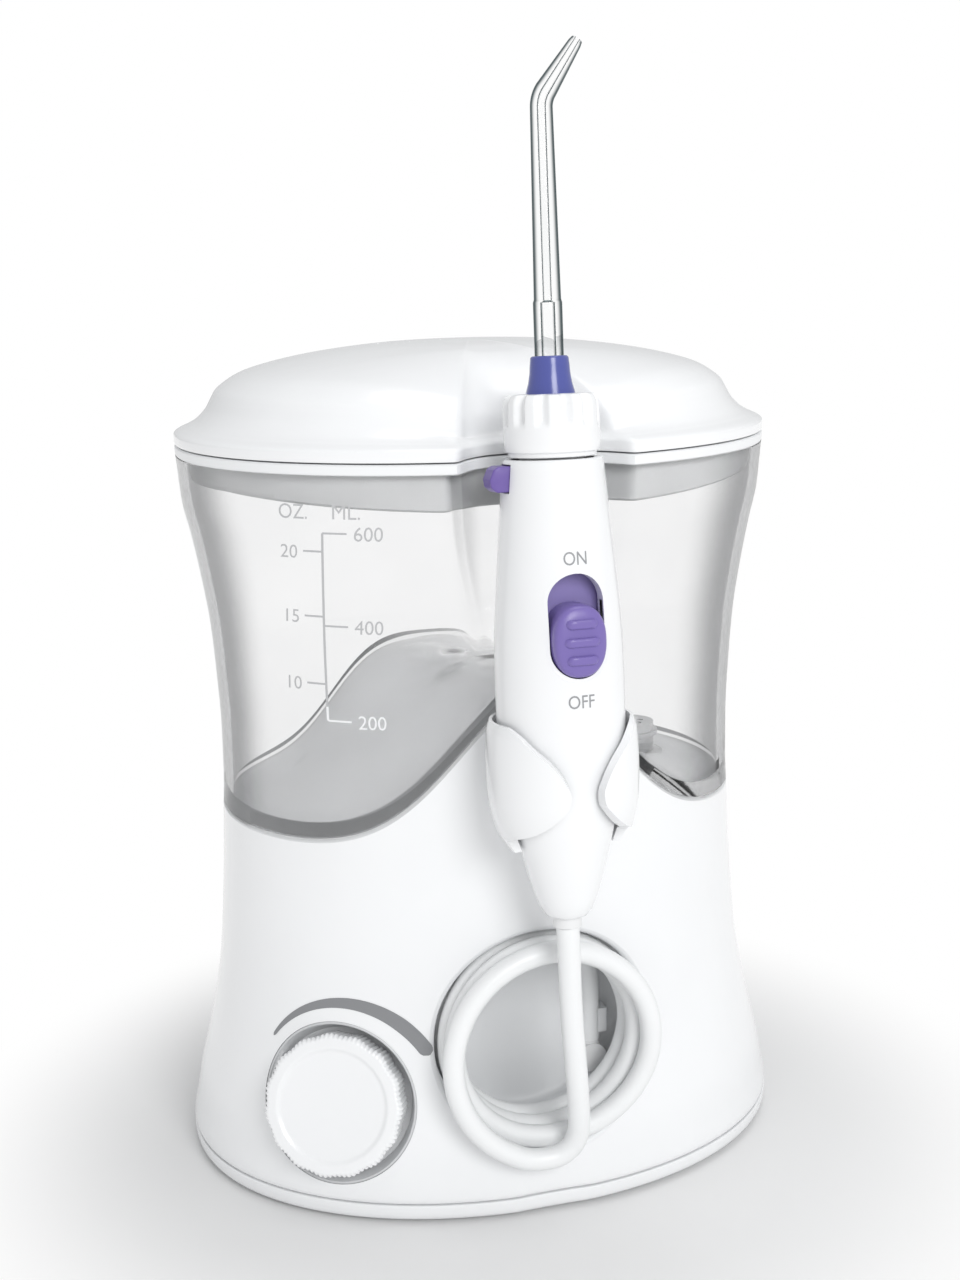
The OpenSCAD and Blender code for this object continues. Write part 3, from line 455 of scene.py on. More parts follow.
def cut(ob, cutters, sharp=32, bevel=0.0):
    """takes the cutters away from ob and drops them"""
    for c in cutters:
        md = ob.modifiers.new("cut", "BOOLEAN")
        md.operation, md.object, md.solver = "DIFFERENCE", c, "EXACT"
    if bevel:
        bv = ob.modifiers.new("bevel", "BEVEL")
        bv.width, bv.segments, bv.limit_method, bv.angle_limit = bevel / 1000, 3, "ANGLE", math.radians(35)
    bpy.context.view_layer.update()
    dg = bpy.context.evaluated_depsgraph_get()
    me = bpy.data.meshes.new_from_object(ob.evaluated_get(dg))
    ob.modifiers.clear()
    old = ob.data
    ob.data = me
    bpy.data.meshes.remove(old)
    me.shade_smooth()
    me.set_sharp_from_angle(angle=math.radians(sharp))
    for c in cutters:
        bpy.data.objects.remove(c)
    return ob


def soften(ob, width, angle=35, seg=3):
    b = ob.modifiers.new("bevel", "BEVEL")
    b.width, b.segments, b.limit_method = width / 1000, seg, "ANGLE"
    b.angle_limit = math.radians(angle)
    b.harden_normals = True
    return ob


def disc(r, z0, z1, n=96, frame_fn=None, x=0.0, y=0.0):
    V, F = loft([np.stack([x + r * np.cos(t), y + r * np.sin(t), 0 * t + z], 1)
                 for t in [np.radians(np.arange(n) * 360 / n)] for z in (z0, z1)], (x, y, z0), (x, y, z1))
    return (frame_fn(V) if frame_fn else np.array(V)), F


def stadium(w, l, n=24):
    """outline of a slot w wide and l long, along the second axis"""
    r, h = w / 2, (l - w) / 2
    t = np.linspace(0, np.pi, n)
    top = np.stack([r * np.cos(t), h + r * np.sin(t)], 1)
    return np.vstack([top, -top])


# ------------------------------------------------------------------ hose
hose_pts = [[0, -67.2, 74.4], [0.2, -67.25, 71], [0.35, -67.25, 66], [0.6, -67.1, 59], [1.1, -66.8, 51], [1.9, -66.1, 43],
            [2.8, -65.1, 35], [3.5, -63.9, 28], [3.7, -63.0, 23.5], [2.6, -62.2, 19.6], [-0.9, -61.7, 17.0], [-7.0, -61.3, 17.05]]
T = np.array([  # angle, radius, y
    [-107, 24.0, -61.3], [-135, 24.0, -60.7], [-180, 24.0, -59.0], [-225, 24.0, -57.3], [-270, 24.0, -56.5],
    [-315, 24.0, -56.3], [-360, 23.9, -56.2], [-385, 23.5, -56.0], [-410, 22.9, -55.7], [-450, 22.4, -55.0],
    [-495, 22.3, -54.5], [-540, 22.3, -53.7], [-585, 22.3, -52.1], [-630, 22.3, -51.2], [-675, 22.3, -51.05],
    [-720, 22.3, -50.9], [-765, 22.3, -50.5], [-810, 22.3, -49.8], [-900, 22.3, -48.5], [-990, 22.3, -46.0],
    [-1080, 22.3, -45.6], [-1170, 22.3, -44.6], [-1260, 22.3, -43.2], [-1320, 22.2, -41.6], [-1350, 21.6, -40.6]])
hz_c = lambda f: 40 + np.clip((-360 - f) / 80, 0, 1)
for f in np.arange(-120, -1351, -15.0):
    rr = pchip(-T[:, 0], T[:, 1], -f)
    yy = pchip(-T[:, 0], T[:, 2], -f)
    hose_pts.append([float(rr * math.cos(math.radians(f))), float(yy), float(hz_c(f) + rr * math.sin(math.radians(f)))])
hose_pts += [[5.6, -39.9, 61.6], [10.4, -38.5, 58.6], [14.0, -36.9, 54.2], [15.9, -35.5, 49.0], [16.5, -34.9, 43.5],
             [16.5, -34.8, 38], [16.5, -34.8, 31.2]]
hp_path = crom(hose_pts, 4)
cu = bpy.data.curves.new("supply_hose", "CURVE")
cu.dimensions = "3D"
sp = cu.splines.new("POLY")
sp.points.add(len(hp_path) - 1)
for k, p in enumerate(hp_path):
    sp.points[k].co = (p[0] / 1000, (p[1] + FY) / 1000, p[2] / 1000, 1)
cu.bevel_depth = 0.0025
cu.bevel_resolution = 6
cu.use_fill_caps = True
cu.materials.append(M["hose"])
sp.use_smooth = True
hose_c = bpy.data.objects.new("supply_hose_line", cu)
scene.collection.objects.link(hose_c)
bpy.context.view_layer.update()
hose_me = bpy.data.meshes.new_from_object(hose_c.evaluated_get(bpy.context.evaluated_depsgraph_get()))
bpy.data.objects.remove(hose_c)
hose = bpy.data.objects.new("supply_hose", hose_me)
scene.collection.objects.link(hose)
hose_me.shade_smooth()
hose_me.set_sharp_from_angle(angle=math.radians(50))
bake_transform(hose)
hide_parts("hose_drop", "hose_loop", "hose_coil", "hose_tail")

# ------------------------------------------------------------------ body
NB = 320
Q = angs(NB)
rows = []
for z in (74.0, 50.0, 30.0, 12.0, 5.5):
    rows.append(wall(Q, z, 2.4))
for z in (5.5,):
    rows.append(wall(Q, z, 0.5))
top = seam(Q, -0.6)
zs = np.concatenate([[5.7, 6.1], np.linspace(6.8, 74, 64)])
for z in zs:
    rows.append(wall(Q, z, 0.35 if z < 5.8 else (0.1 if z < 6.2 else 0)))
for k in np.linspace(0, 1, 14)[1:]:
    z = 74 + (top[:, 2] - 0.5 - 74) * k
    x = wall(Q, z)
    rows.append(x)
e = top.copy()
inset = wall(Q, top[:, 2], 0.35)
rows.append(np.stack([inset[:, 0], inset[:, 1], top[:, 2]], 1) - np.array([0, 0, 0.12]))
for s in (0.985, 0.96, 0.92, 0.86, 0.78, 0.68, 0.56, 0.42, 0.27, 0.12):
    rows.append(cap(Q, -0.6, 0, s))
inner = [cap(Q, -3.0, 2.4, s) for s in (0.2, 0.6, 1.0)]
V, F = loft(inner + rows, (0, 0, float(saddle(np.array(0.0), np.array(0.0))) - 3.0),
            (0, 0, float(saddle(np.array(0.0), np.array(0.0))) - 0.6))
body = make("housing_shell", V, F, ["white", "liner"], "base", ("main_housing",))
PR, PF = 25.5, 1.3
pc = []
for y in (-75.0, -20.0):
    t = np.radians(np.arange(160) * 360 / 160)
    pc.append(np.stack([(PR + PF) * np.cos(t), y + 0 * t, 41 + (PR + PF) * np.sin(t)], 1))
c1 = cutter(*loft(pc, (0, -75, 41), (0, -20, 41)))
dv, df = disc(18.7, -6.0, 26.0, 128)
c2 = cutter(dl(dv), df)
dv, df = disc(4.7, -56, -44, 48)
dv = np.array(dv)
c3 = cutter(np.stack([dv[:, 0], dv[:, 2], dv[:, 1] + 100], 1), df)
dv, df = disc(8.2, 70, 100, 48, x=44, y=8)
c4 = cutter(dv, df)
dv, df = disc(5.5, 45, 70, 48)
dv = np.array(dv)
c5 = cutter(np.stack([dv[:, 0] + 30, dv[:, 2], dv[:, 1] + 16], 1), df)
cut(body, [c1, c2, c3, c4, c5], sharp=38)

# pocket: rounded lip, tube and floor, in a darker copy of the white plastic as painted shade inside the pocket
th = np.radians(np.arange(160) * 360 / 160)
rings = []
yl = ywall((PR + PF) * np.cos(th), 41 + (PR + PF) * np.sin(th))
for k in range(7):
    a = math.radians(90 * k / 6)
    r = PR + PF * (1 - math.sin(a))
    base = ywall(r * np.cos(th), 41 + r * np.sin(th))
    blend = math.sin(a)
    y = yl * (1 - blend) + base * blend + PF * (1 - math.cos(a))
    rings.append(np.stack([r * np.cos(th), y, 41 + r * np.sin(th)], 1))
for r, y in ((PR, -46.0), (PR, -40.0), (PR, -36.0), (PR - 0.1, -33.6), (PR - 0.5, -32.6), (PR - 1.3, -32.1), (PR - 2.5, -32.0),
             (18, -32.0), (10, -32.0)):
    rings.append(np.stack([r * np.cos(th), np.maximum(y, rings[6][:, 1] + 0.4) if y < -40 else y + 0 * th, 41 + r * np.sin(th)], 1))
V, F = loft(rings, None, (0, -32, 41))
make("hose_pocket", V, F, "liner", "base", (), sharp=40)

# ------------------------------------------------------------------ base plate
rows = [wall(Q, 1.0, 2.2, 0.5), wall(Q, 1.0, 3.2), wall(Q, 1.0, 2.2), wall(Q, 1.15, 1.5), wall(Q, 1.5, 0.95), wall(Q, 2.1, 0.5), wall(Q, 2.9, 0.25),
        wall(Q, 4.0, 0.1), wall(Q, 4.8, 0.12), wall(Q, 5.05, 0.35), wall(Q, 5.1, 0.7), wall(Q, 5.1, 3.0), wall(Q, 3.2, 3.0), wall(Q, 3.2, 3.0, 0.5)]
V, F = loft(rows, (0, 0, 1.0), (0, 0, 3.2))
parts = [(V, F)]
for px_, py_ in ((-58, -8), (58, -8), (-36, 36), (36, 36)):
    parts.append(disc(4.5, 3, 7.3, 40, x=px_, y=py_))
V, F = join(*parts)
make("base_plate", V, F, "white", "base", ("bottom_plate",))

# ------------------------------------------------------------------ tank
TW = 2.2
s0 = seam(Q, 0.0)
outer = []
for k in np.linspace(0, 1, 46):
    z = s0[:, 2] + (171.7 - s0[:, 2]) * k
    outer.append(wall(Q, z))
s1 = seam(Q, 3.0, TW)
innr = []
for k in np.linspace(1, 0, 46):
    z = s1[:, 2] + (171.7 - s1[:, 2]) * k
    innr.append(wall(Q, z, TW))
sc = (0.12, 0.27, 0.42, 0.56, 0.68, 0.78, 0.86, 0.92, 0.96, 0.985)
cap_o = [cap(Q, 0.0, 0.0, s) for s in sc]
cap_i = [cap(Q, 3.0, TW, s) for s in sc[::-1]]
rings = cap_o + outer + innr + cap_i
V, F = loft(rings, (0, 0, float(saddle(np.array(0.0), np.array(0.0)))), (0, 0, float(saddle(np.array(0.0), np.array(0.0))) + 3))
fm = []
for k in range(len(rings) - 1):
    fm += [1 if (k < len(cap_o) or k >= len(rings) - len(cap_i) - 1) else 0] * NB
fm += [1] * (2 * NB)
# a band round the front and sides of the tank's lower rim takes the darker lip material: painted shade
for k in range(len(cap_o) - 1, len(cap_o) + 2):
    for j in range(k * NB, (k + 1) * NB):
        if math.cos(2 * math.pi * (j - k * NB) / NB) > -0.2:
            fm[j] = 2
tank = make("tank_shell", V, F, ["tank", "floor", "edge_painted_shade"], "tank", ("water_tank",), fm=fm, sharp=40)
dv, df = disc(6.0, 80, 100, 48, x=44, y=8)
cut(tank, [cutter(dv, df)], sharp=40)

# ------------------------------------------------------------------ tray
t = TW + 0.35



def skirt(z, t_, s=1.0, rise=3.2):
    p = wall(Q, z, t_, s)
    p[:, 2] += rise * np.clip(np.abs(p[:, 0]) / 62, 0, 1) ** 2
    return p


rows = [skirt(163.0, t, 0.5), skirt(163.0, t + 1.2), skirt(163.15, t + 0.4), skirt(163.6, t), wall(Q, 168.0, t), wall(Q, 171.8, t), wall(Q, 171.8, 0.25),
        wall(Q, 172.0, 0.05), wall(Q, 172.8, 0.0), wall(Q, 173.8, 0.03), wall(Q, 174.1, 0.35), wall(Q, 174.1, 4.2), wall(Q, 173.8, 4.6),
        skirt(166.0, 4.6), skirt(165.0, 4.9), skirt(164.6, 5.8), skirt(164.6, 5.8, 0.5)]
parts = [loft(rows, (0, 0, 163.0), (0, 0, 164.6))]
NBAND = len(rows)
HY, HZ = 61.6, 174.3


def xrod(r, x0, x1, y, z, n=40):
    tt = np.radians(np.arange(n) * 360 / n)
    rr = [np.stack([x + 0 * tt, y + q * np.cos(tt), z + q * np.sin(tt)], 1)
          for x, q in ((x0, r - 0.25), (x0 + 0.25, r), (x1 - 0.25, r), (x1, r - 0.25))]
    return loft(rr, (x0, y, z), (x1, y, z))


def block(x0, x1, y0, y1, z0, z1, fn=None):
    V = np.array([[x, y, z] for z in (z0, z1) for y in (y0, y1) for x in (x0, x1)], float)
    return (fn(V) if fn else V), [(0, 2, 3, 1), (4, 5, 7, 6), (0, 1, 5, 4), (2, 6, 7, 3), (0, 4, 6, 2), (1, 3, 7, 5)]


for s in (-1, 1):
    x0, x1 = (10.4, 20) if s > 0 else (-20, -10.4)
    parts.append(xrod(2.2, x0, x1, HY, HZ))
    parts.append(block(x0, x1, 57.6, 61.4, 172.2, 173.9))
for x in (-30, -10, 10, 30):
    parts.append(block(x, x + 1.4, 5, 35, 164.4, 169.5))
V, F = join(*parts)
# the band rows of the tray skirt take the grey material, painted shade for the band seen through the tank
fmt = [0] * len(F)
for k in range(1, 5):
    for j in range(k * NB, (k + 1) * NB):
        fmt[j] = 1
make("tray_shell", V, F, ["white2", "tray_band_painted_shade"], "tray", ("tip_tray",), fm=fmt)

# ------------------------------------------------------------------ lid
LID = np.array([[1, 174.4], [1, 176.6], [0.957, 178.3], [0.93, 179.4], [0.893, 182], [0.872, 184.6], [0.858, 186.2],
                [0.82, 188.3], [0.775, 190], [0.66, 192.3], [0.5, 194.3], [0.3, 195.8], [0.12, 196.4]])


def dip(p):
    f = np.clip((-p[:, 1] - 22) / 25, 0, 1)
    g = np.clip((p[:, 2] - 176.6) / 8, 0, 1)
    g = g * g * (3 - 2 * g)
    p = p.copy()
    p[:, 2] -= 7 * np.exp(-(p[:, 0] / 24) ** 2) * f * np.sqrt(f) * g
    return p


def lring(s, z, t):
    return dip(wall(Q, np.full(NB, float(z)), t, s, ab=(70.0, 58.9), k=2.2))


lt = np.arange(len(LID), dtype=float)
us = np.concatenate([np.linspace(1, 12, 100)])
curve = np.stack([pchip(lt, LID[:, 0], us), pchip(lt, LID[:, 1], us)], 1)
rows = [lring(1, 174.4, 0.5), lring(1, 174.5, 0.12), lring(1, 174.8, 0.0), lring(1, 175.6, 0.0), lring(1, 176.3, 0.0)]
rows += [lring(s, z, 0) for s, z in curve]
inn = [lring(s, z - 2.2, s * 1.6) for s, z in curve[::-7] if z > 179.5]
low = [lring(1, 176.8, 5.2), lring(1, 174.6, 5.2), lring(1, 174.4, 4.9)]
V, F = loft(inn + low + rows, (0, 0, 194.3), (0, 0, 196.5))
V, F = join((V, F), block(-10, 10, 57.6, 61.4, 174.8, 176.4), xrod(2.2, -10, 10, HY, HZ))
make("lid_shell", V, F, "white", "lid", ("lid_cover",), sharp=42)

# ------------------------------------------------------------------ dial
th = np.radians(np.arange(128) * 360 / 128)


def dring(r, z=None, dz=0.0, n=128):
    t = np.radians(np.arange(n) * 360 / n)
    if z is None:
        o = dl(np.stack([r * np.cos(t), r * np.sin(t), 0 * t], 1))
        return onto(o, DN) + dz * DN
    return dl(np.stack([r * np.cos(t), r * np.sin(t), z + 0 * t], 1))


rows = [dring(18.68, -5.6), dring(18.68, -4.0), dring(18.68, None, -0.45), dring(18.6, None, -0.16), dring(18.35, None, -0.02),
        dring(18.1, None, -0.10), dring(17.95, None, -0.4)]
low = dl(np.stack([17.2 * np.cos(th), 17.2 * np.sin(th), -2.2 + 0 * th], 1))
rows += [low, dring(16.5, -3.55), dring(15.5, -3.6), dring(4.6, -3.6), dring(4.5, -5.6)]
V, F = loft(rows + [rows[0]])
make("dial_recess_ring", V, F, "grey", "base", ("dial_bezel",), sharp=40)


def knurl(t, r, z):
    k = np.clip((r - 12.5) / 2.5, 0, 1) * np.clip((5.9 - z) / 1.0, 0.0, 1)
    ribs = -0.32 * (0.5 + 0.5 * np.cos(90 * t)) ** 1.2
    lobes = 0.22 * np.cos(15 * t)
    return k * (ribs + lobes)


prof = rounded([(12.6, -2.9), (15.6, -2.9, 0.5), (16.15, 4.3, 0.6), (15.5, 5.4, 0.7), (13.1, 5.55, 0.4), (12.2, 5.0, 0.4), (6, 4.86, 0), (0.01, 4.84)], 0.4, 6)
V, F = revolve(prof, 720, wave=knurl)
rr = revolve([(13.0, -2.9), (12.6, 0.2), (3.0, 0.4)], 720)
V, F = join((dl(V), F), (dl(rr[0]), rr[1]))
make("dial_cap", V, F, "white", "dial", ("dial_knob",), sharp=50)

# grey sweep mark on the body round the dial, thin at one end and thick at the other
ends = np.array([[-59.4, -29.1, 40.5], [-47.0, -41.4, 52.9], [-39.3, -45.9, 52.3], [-32.5, -48.8, 49.0], [-27.6, -50.5, 40.4]])
loc_ = (ends - DC) @ DR
aa = np.degrees(np.arctan2(loc_[:, 1], loc_[:, 0]))
rad = np.hypot(loc_[:, 0], loc_[:, 1])
a_from, a_to = aa[0], aa[-1]
nn = 90
grid = []
for i in range(nn + 1):
    u = i / nn
    a = math.radians(a_from + (a_to - a_from) * u)
    rc = float(np.interp(u, np.linspace(0, 1, len(rad)), rad)) * 0 + (rad[0] * (1 - u) + rad[-1] * u)
    w = 0.35 + 1.35 * min(1, u * 1.25) ** 0.9
    if u > 0.965:
        w *= math.sqrt(max(0.02, 1 - ((u - 0.965) / 0.035) ** 2))
    if u < 0.02:
        w *= math.sqrt(max(0.05, 1 - ((0.02 - u) / 0.02) ** 2))
    grid.append([[(rc + w * c) * math.cos(a), (rc + w * c) * math.sin(a), 0] for c in (-1, -0.5, 0, 0.5, 1)])
grid = np.array(grid)
o = dl(grid.reshape(-1, 3)).reshape(nn + 1, 5, 3)
pp = onto(o, DN) + 0.07 * DN
V, F = loft([pp[i] for i in range(nn + 1)], closed=False)
make("dial_sweep_mark", V, F, "mark", "base", (), sharp=60)

# ------------------------------------------------------------------ hand piece
HPF = np.array([[0, 4.3], [1.4, 5.4], [7.4, 7.6], [15, 9.6], [25, 11.8], [34, 13.1], [41, 13.6], [47, 13.7],
                [52, 13.7], [58.5, 13.6], [76, 12.4], [90, 11.2], [98, 10.5]])


def hr(w):
    return pchip(HPF[:, 0], HPF[:, 1], w)


ws = np.concatenate([[0.0, 0.25, 0.7, 1.4], np.linspace(3, 97.2, 70)])
outp = [(3.1, 0.0), (3.9, 0.0)] + [(float(hr(w)) - (0.12 if w < 0.2 else 0), float(w)) for w in ws[1:]] + [(float(hr(97.7)) - 0.15, 97.75), (float(hr(98)) - 0.5, 98.0)]
inp = [(8.7, 98.0), (9.3, 91.0), (7.4, 91.0), (7.4, 89.7), (9.5, 89.7)] + [(float(hr(w)) - 1.8, float(w)) for w in (76, 58.5, 52, 47, 41, 34, 25, 15, 7.4)] + [(3.1, 3.0)]
prof = outp + inp


def stad_cut(w0, wd, ln, y0, y1, n=28):
    s = stadium(wd, ln, n)
    rr = [hp(np.stack([s[:, 0], y + 0 * s[:, 0], w0 + s[:, 1]], 1)) for y in (y0, y1)]
    return loft(rr, hp([[0, y0, w0]])[0], hp([[0, y1, w0]])[0])


for nm, a0, a1, cad in (("grip_front", 180, 360, "handle_front"), ("grip_rear", 0, 180, "handle_rear")):
    V, F = revolve(prof, 97, a0, a1, closed_prof=True)
    g = make(nm, hp(V), F, "white", "hand_piece", (cad,), sharp=40)
    cs = [cutter(*block(-16, -6, -3.1, 3.1, 91.3, 97.2, hp))]
    if nm == "grip_front":
        cs.append(cutter(*stad_cut(64.4, 12.0, 21.5, -20, -5)))
    cut(g, cs, sharp=40)

# rounded rim of the switch slot
s = stadium(12.0, 21.5, 40)
cen = np.array([0, 64.4])
rings = []
for k in range(6):
    a = math.radians(90 * k / 5)
    off = 0.7 * (1 - math.sin(a))
    sc_ = s * 1.0
    nrm = s / np.maximum(1e-6, np.linalg.norm(s - np.stack([0 * s[:, 0], np.clip(s[:, 1], -4.75, 4.75)], 1), axis=1))[:, None]
    d = s - np.stack([0 * s[:, 0], np.clip(s[:, 1], -4.75, 4.75)], 1)
    d = d / np.linalg.norm(d, axis=1)[:, None]
    x, w = s[:, 0] + d[:, 0] * off, 64.4 + s[:, 1] + d[:, 1] * off
    y = -np.sqrt(np.maximum(1, hr(w) ** 2 - x**2)) + 0.7 * (1 - math.cos(a)) - 0.03
    rings.append(hp(np.stack([x, y, w], 1)))
x, w = s[:, 0], 64.4 + s[:, 1]
rings.append(hp(np.stack([x, 0 * x - 8.2, w], 1)))
V, F = loft(rings)
make("switch_slot_rim", V, F, "white", "hand_piece", (), sharp=60)

# switch: oval button with three grip ribs on a purple slide plate
parts = []
so = np.radians(np.arange(160) * 360 / 160)
s = np.stack([5.7 * spow(np.cos(so), 0.86), 7.5 * spow(np.sin(so), 0.86)], 1)
BW = 61.4
rows = [(0.94, -7.4), (1.0, -7.8), (1.0, -13.2), (0.985, -13.9), (0.945, -14.4), (0.88, -14.75), (0.7, -15.05), (0.4, -15.25), (0.1, -15.3)]
rr = [hp(np.stack([s[:, 0] * k, y + 0 * s[:, 0], BW + s[:, 1] * k], 1)) for k, y in rows]
parts.append(loft(rr, hp([[0, -7.4, BW]])[0], hp([[0, -15.3, BW]])[0]))
for k in (-1, 0, 1):
    q = stadium(1.7, 6.6 - abs(k) * 0.8, 16)
    rr = [hp(np.stack([q[:, 1] * g, y + 0 * q[:, 0], BW + 3.7 * k + q[:, 0] * g], 1))
          for g, y in ((1.25, -14.6), (1.1, -15.4), (1.0, -15.75), (0.8, -15.95), (0.4, -16.0))]
    parts.append(loft(rr, hp([[0, -14.6, BW + 3.7 * k]])[0], hp([[0, -16.0, BW + 3.7 * k]])[0]))
nb = sum(len(p[1]) for p in parts)
parts.append(block(-6.5, 6.5, -7.2, -6.2, 46.5, 76.5, hp))
parts.append(block(-1.2, 1.2, -6.3, -0.4, 60, 63, hp))
V, F = join(*parts)
make("switch_button", V, F, ["violet", "purple_dark"], "switch", ("slide_button",),
     fm=[0] * nb + [1] * (len(F) - nb), sharp=36)

# collar with a scalloped crown
def scallop(t, r, z):
    k = np.clip((z - 104.6) / 1.2, 0, 1) * np.clip((r - 7.5) / 1.2, 0, 1)
    c = (0.5 + 0.5 * np.cos(12 * t))
    return -1.25 * k * np.maximum(0, c - 0.35) / 0.65


prof = rounded([(3.3, 98.4), (9.1, 98.4, 0.25), (9.2, 99.3, 0.2), (9.85, 99.5, 0.35), (10.0, 101, 0), (10.0, 104.4, 0), (9.9, 109.6, 0.8),
                (9.1, 111.1, 0.6), (6.4, 111.25, 0.4), (5.8, 110.9, 0.3), (5.75, 109.4, 0), (3.2, 109.4)], 0.3, 5)
pz = []
for (a, b), (c, d) in zip(prof[:-1], prof[1:]):
    m = max(1, int(abs(d - b) / 0.5))
    pz += [(a + (c - a) * i / m, b + (d - b) * i / m) for i in range(m)]
pz.append(prof[-1])
V, F = revolve(pz, 288, wave=scallop)
make("collar", hp(V), F, "white", "nozzle", ("nozzle_collar",), sharp=45)

# coloured ring on the tip
prof = rounded([(3.02, 109.65), (5.25, 109.65, 0.3), (5.3, 110.6, 0.4), (5.05, 111.6, 0), (4.55, 113.4, 0), (4.25, 115.2, 0), (4.1, 117.0, 0),
                (3.95, 118.5, 0.25), (3.6, 118.85, 0.2), (3.02, 118.85)], 0.3, 4)
V, F = revolve(prof, 96)
make("tip_colour_ring", hp(V), F, "ring", "tip", ("tip_ring",), sharp=45)

# clear jet tip: stepped straight tube, smooth bend, tapered nozzle with a bore
wz = np.concatenate([np.linspace(97.6, 129.6, 20), [130.0, 130.3], np.linspace(131, 168, 30)])
cl, ro, ri = [], [], []
for w in wz:
    cl.append([0, 0, w])
    ro.append(3.0 if w < 129.8 else (2.85 if w < 130.1 else 2.8 - 0.5 * (w - 130) / 38))
    ri.append(1.5 if w < 129.8 else 0.9)
for a in np.linspace(0, 35, 12)[1:]:
    t_ = math.radians(a)
    cl.append([6 * (1 - math.cos(t_)), 0, 168 + 6 * math.sin(t_)])
    ro.append(2.3)
    ri.append(0.9)
t_ = math.radians(35)
e0 = np.array([6 * (1 - math.cos(t_)), 0, 168 + 6 * math.sin(t_)])
dr = np.array([math.sin(t_), 0, math.cos(t_)])
for k in np.linspace(0, 1, 14)[1:]:
    cl.append((e0 + dr * 12.0 * k).tolist())
    ro.append(2.3 - 0.95 * k - (0.15 if k > 0.99 else 0))
    ri.append(0.9 - 0.35 * k)
cl, ro, ri = np.array(cl), np.array(ro), np.array(ri)
tg = np.gradient(cl, axis=0)
tg /= np.linalg.norm(tg, axis=1)[:, None]
n1 = np.stack([tg[:, 2], 0 * tg[:, 0], -tg[:, 0]], 1)
n2 = np.array([0, 1.0, 0])
t = np.radians(np.arange(48) * 7.5)
ring_at = lambda k, r: cl[k] + r * (np.cos(t)[:, None] * n1[k] + np.sin(t)[:, None] * n2)
rows = [ring_at(k, ro[k]) for k in range(len(cl))] + [ring_at(k, ri[k]) for k in range(len(cl) - 1, -1, -1)]
rows.append(rows[0])
V, F = loft(rows)
make("jet_nozzle", hp(V), F, "tip", "tip", ("jet_tip",), sharp=50)

# eject button: small wedge
P = [(-8.9, 91.6), (-13.0, 91.6), (-14.2, 92.6), (-14.5, 94.2), (-13.6, 96.3), (-12.6, 96.9), (-8.9, 96.9)]
rows = []
for y, k in ((-2.8, 0.9), (-2.55, 1.0), (2.55, 1.0), (2.8, 0.9)):
    rows.append(hp([[-8.9 + (x + 8.9) * (k if x < -9 else 1), y, 94.25 + (w - 94.25) * (0.5 + 0.5 * k)] for x, w in P]))
V, F = loft(rows)
m = len(P)
F = list(F) + [tuple(range(m)), tuple(range(3 * m, 4 * m))[::-1]]
eb = make("eject_wedge", V, F, "purple", "eject", ("eject_button",), sharp=30)
soften(eb, 0.35, 30, 3)

# ------------------------------------------------------------------ cradle
HIN = np.array([[15.5, 10.4], [20.5, 12], [26, 13.1], [33, 14.1], [40, 14.35], [43.5, 14.6]])
HOUT = np.array([[15.5, 12.0], [20, 14.6], [27, 16.1], [34, 16.3], [41, 16.0], [43.5, 15.3]])
XH = np.array([[12, 16], [19, 13.4], [21.6, 9.6], [24.6, 6.2], [27.6, 3.9], [29.6, 3.6], [33, 4.9], [36.4, 7.4], [39.6, 10.8],
               [42.6, 13.2], [46, 16]])
wl = np.linspace(15.5, 43.5, 64)
ri = pchip(HIN[:, 0], HIN[:, 1], wl)
ro_ = pchip(HOUT[:, 0], HOUT[:, 1], wl)
xh = pchip(XH[:, 0], XH[:, 1], wl)
nc = 61
sheets = []
for side in (-1, 1):
    def sheet_pts(rad_, grow=0.0):
        out = []
        for k, w in enumerate(wl):
            fe = math.asin(min(0.985, (xh[k] + grow) / ro_[k]))
            f = np.linspace(fe, math.radians(172), nc)
            x = side * rad_[k] * np.sin(f)
            y = -rad_[k] * np.cos(f)
            out.append(np.stack([x, y, w + 0 * f], 1))
        return out
    for_o, for_i = sheet_pts(ro_), sheet_pts(ri)
    rows = []
    for k in range(len(wl)):
        o_, i_ = for_o[k], for_i[k]
        mid = (o_[0] + i_[0]) / 2
        rows.append(np.vstack([o_[::-1], i_]))
    V, F = loft([hp(r) for r in rows])
    n = 2 * nc
    F = list(F) + [tuple(range(n))[::-1], tuple(range((len(wl) - 1) * n, len(wl) * n))]
    V = np.array(V)
    V[:, 1] = np.minimum(V[:, 1], -51.2)
    sheets.append((V, F))
dv, df = disc(7.7, 0, 1, 64)
tt = np.radians(np.arange(64) * 360 / 64)
stem = loft([np.stack([r * np.cos(tt), y + 0 * tt, 100 + r * np.sin(tt)], 1)
             for r, y in ((4.6, -46.4), (4.6, -49.6), (7.3, -49.9), (7.7, -50.3), (7.7, -51.6), (8.6, -53.6), (8.6, -54.4))], (0, -46.4, 100), (0, -54.4, 100))
V, F = join(sheets[0], sheets[1], stem)
cr = make("cradle", V, F, "white", "base", ("handle_holder",), sharp=38)
soften(cr, 0.45, 50, 3)

# ------------------------------------------------------------------ printed marks
def text_mesh(txt, size):
    tcu = bpy.data.curves.new("t", "FONT")
    tcu.body = txt
    tcu.size = size
    tcu.resolution_u = 4
    tcu.align_x = "LEFT"
    to = bpy.data.objects.new("t", tcu)
    scene.collection.objects.link(to)
    bpy.context.view_layer.update()
    dg = bpy.context.evaluated_depsgraph_get()
    me = bpy.data.meshes.new_from_object(to.evaluated_get(dg))
    V = np.array([v.co for v in me.vertices], float)
    F = [tuple(p.vertices) for p in me.polygons]
    bpy.data.objects.remove(to)
    bpy.data.meshes.remove(me)
    return V, F


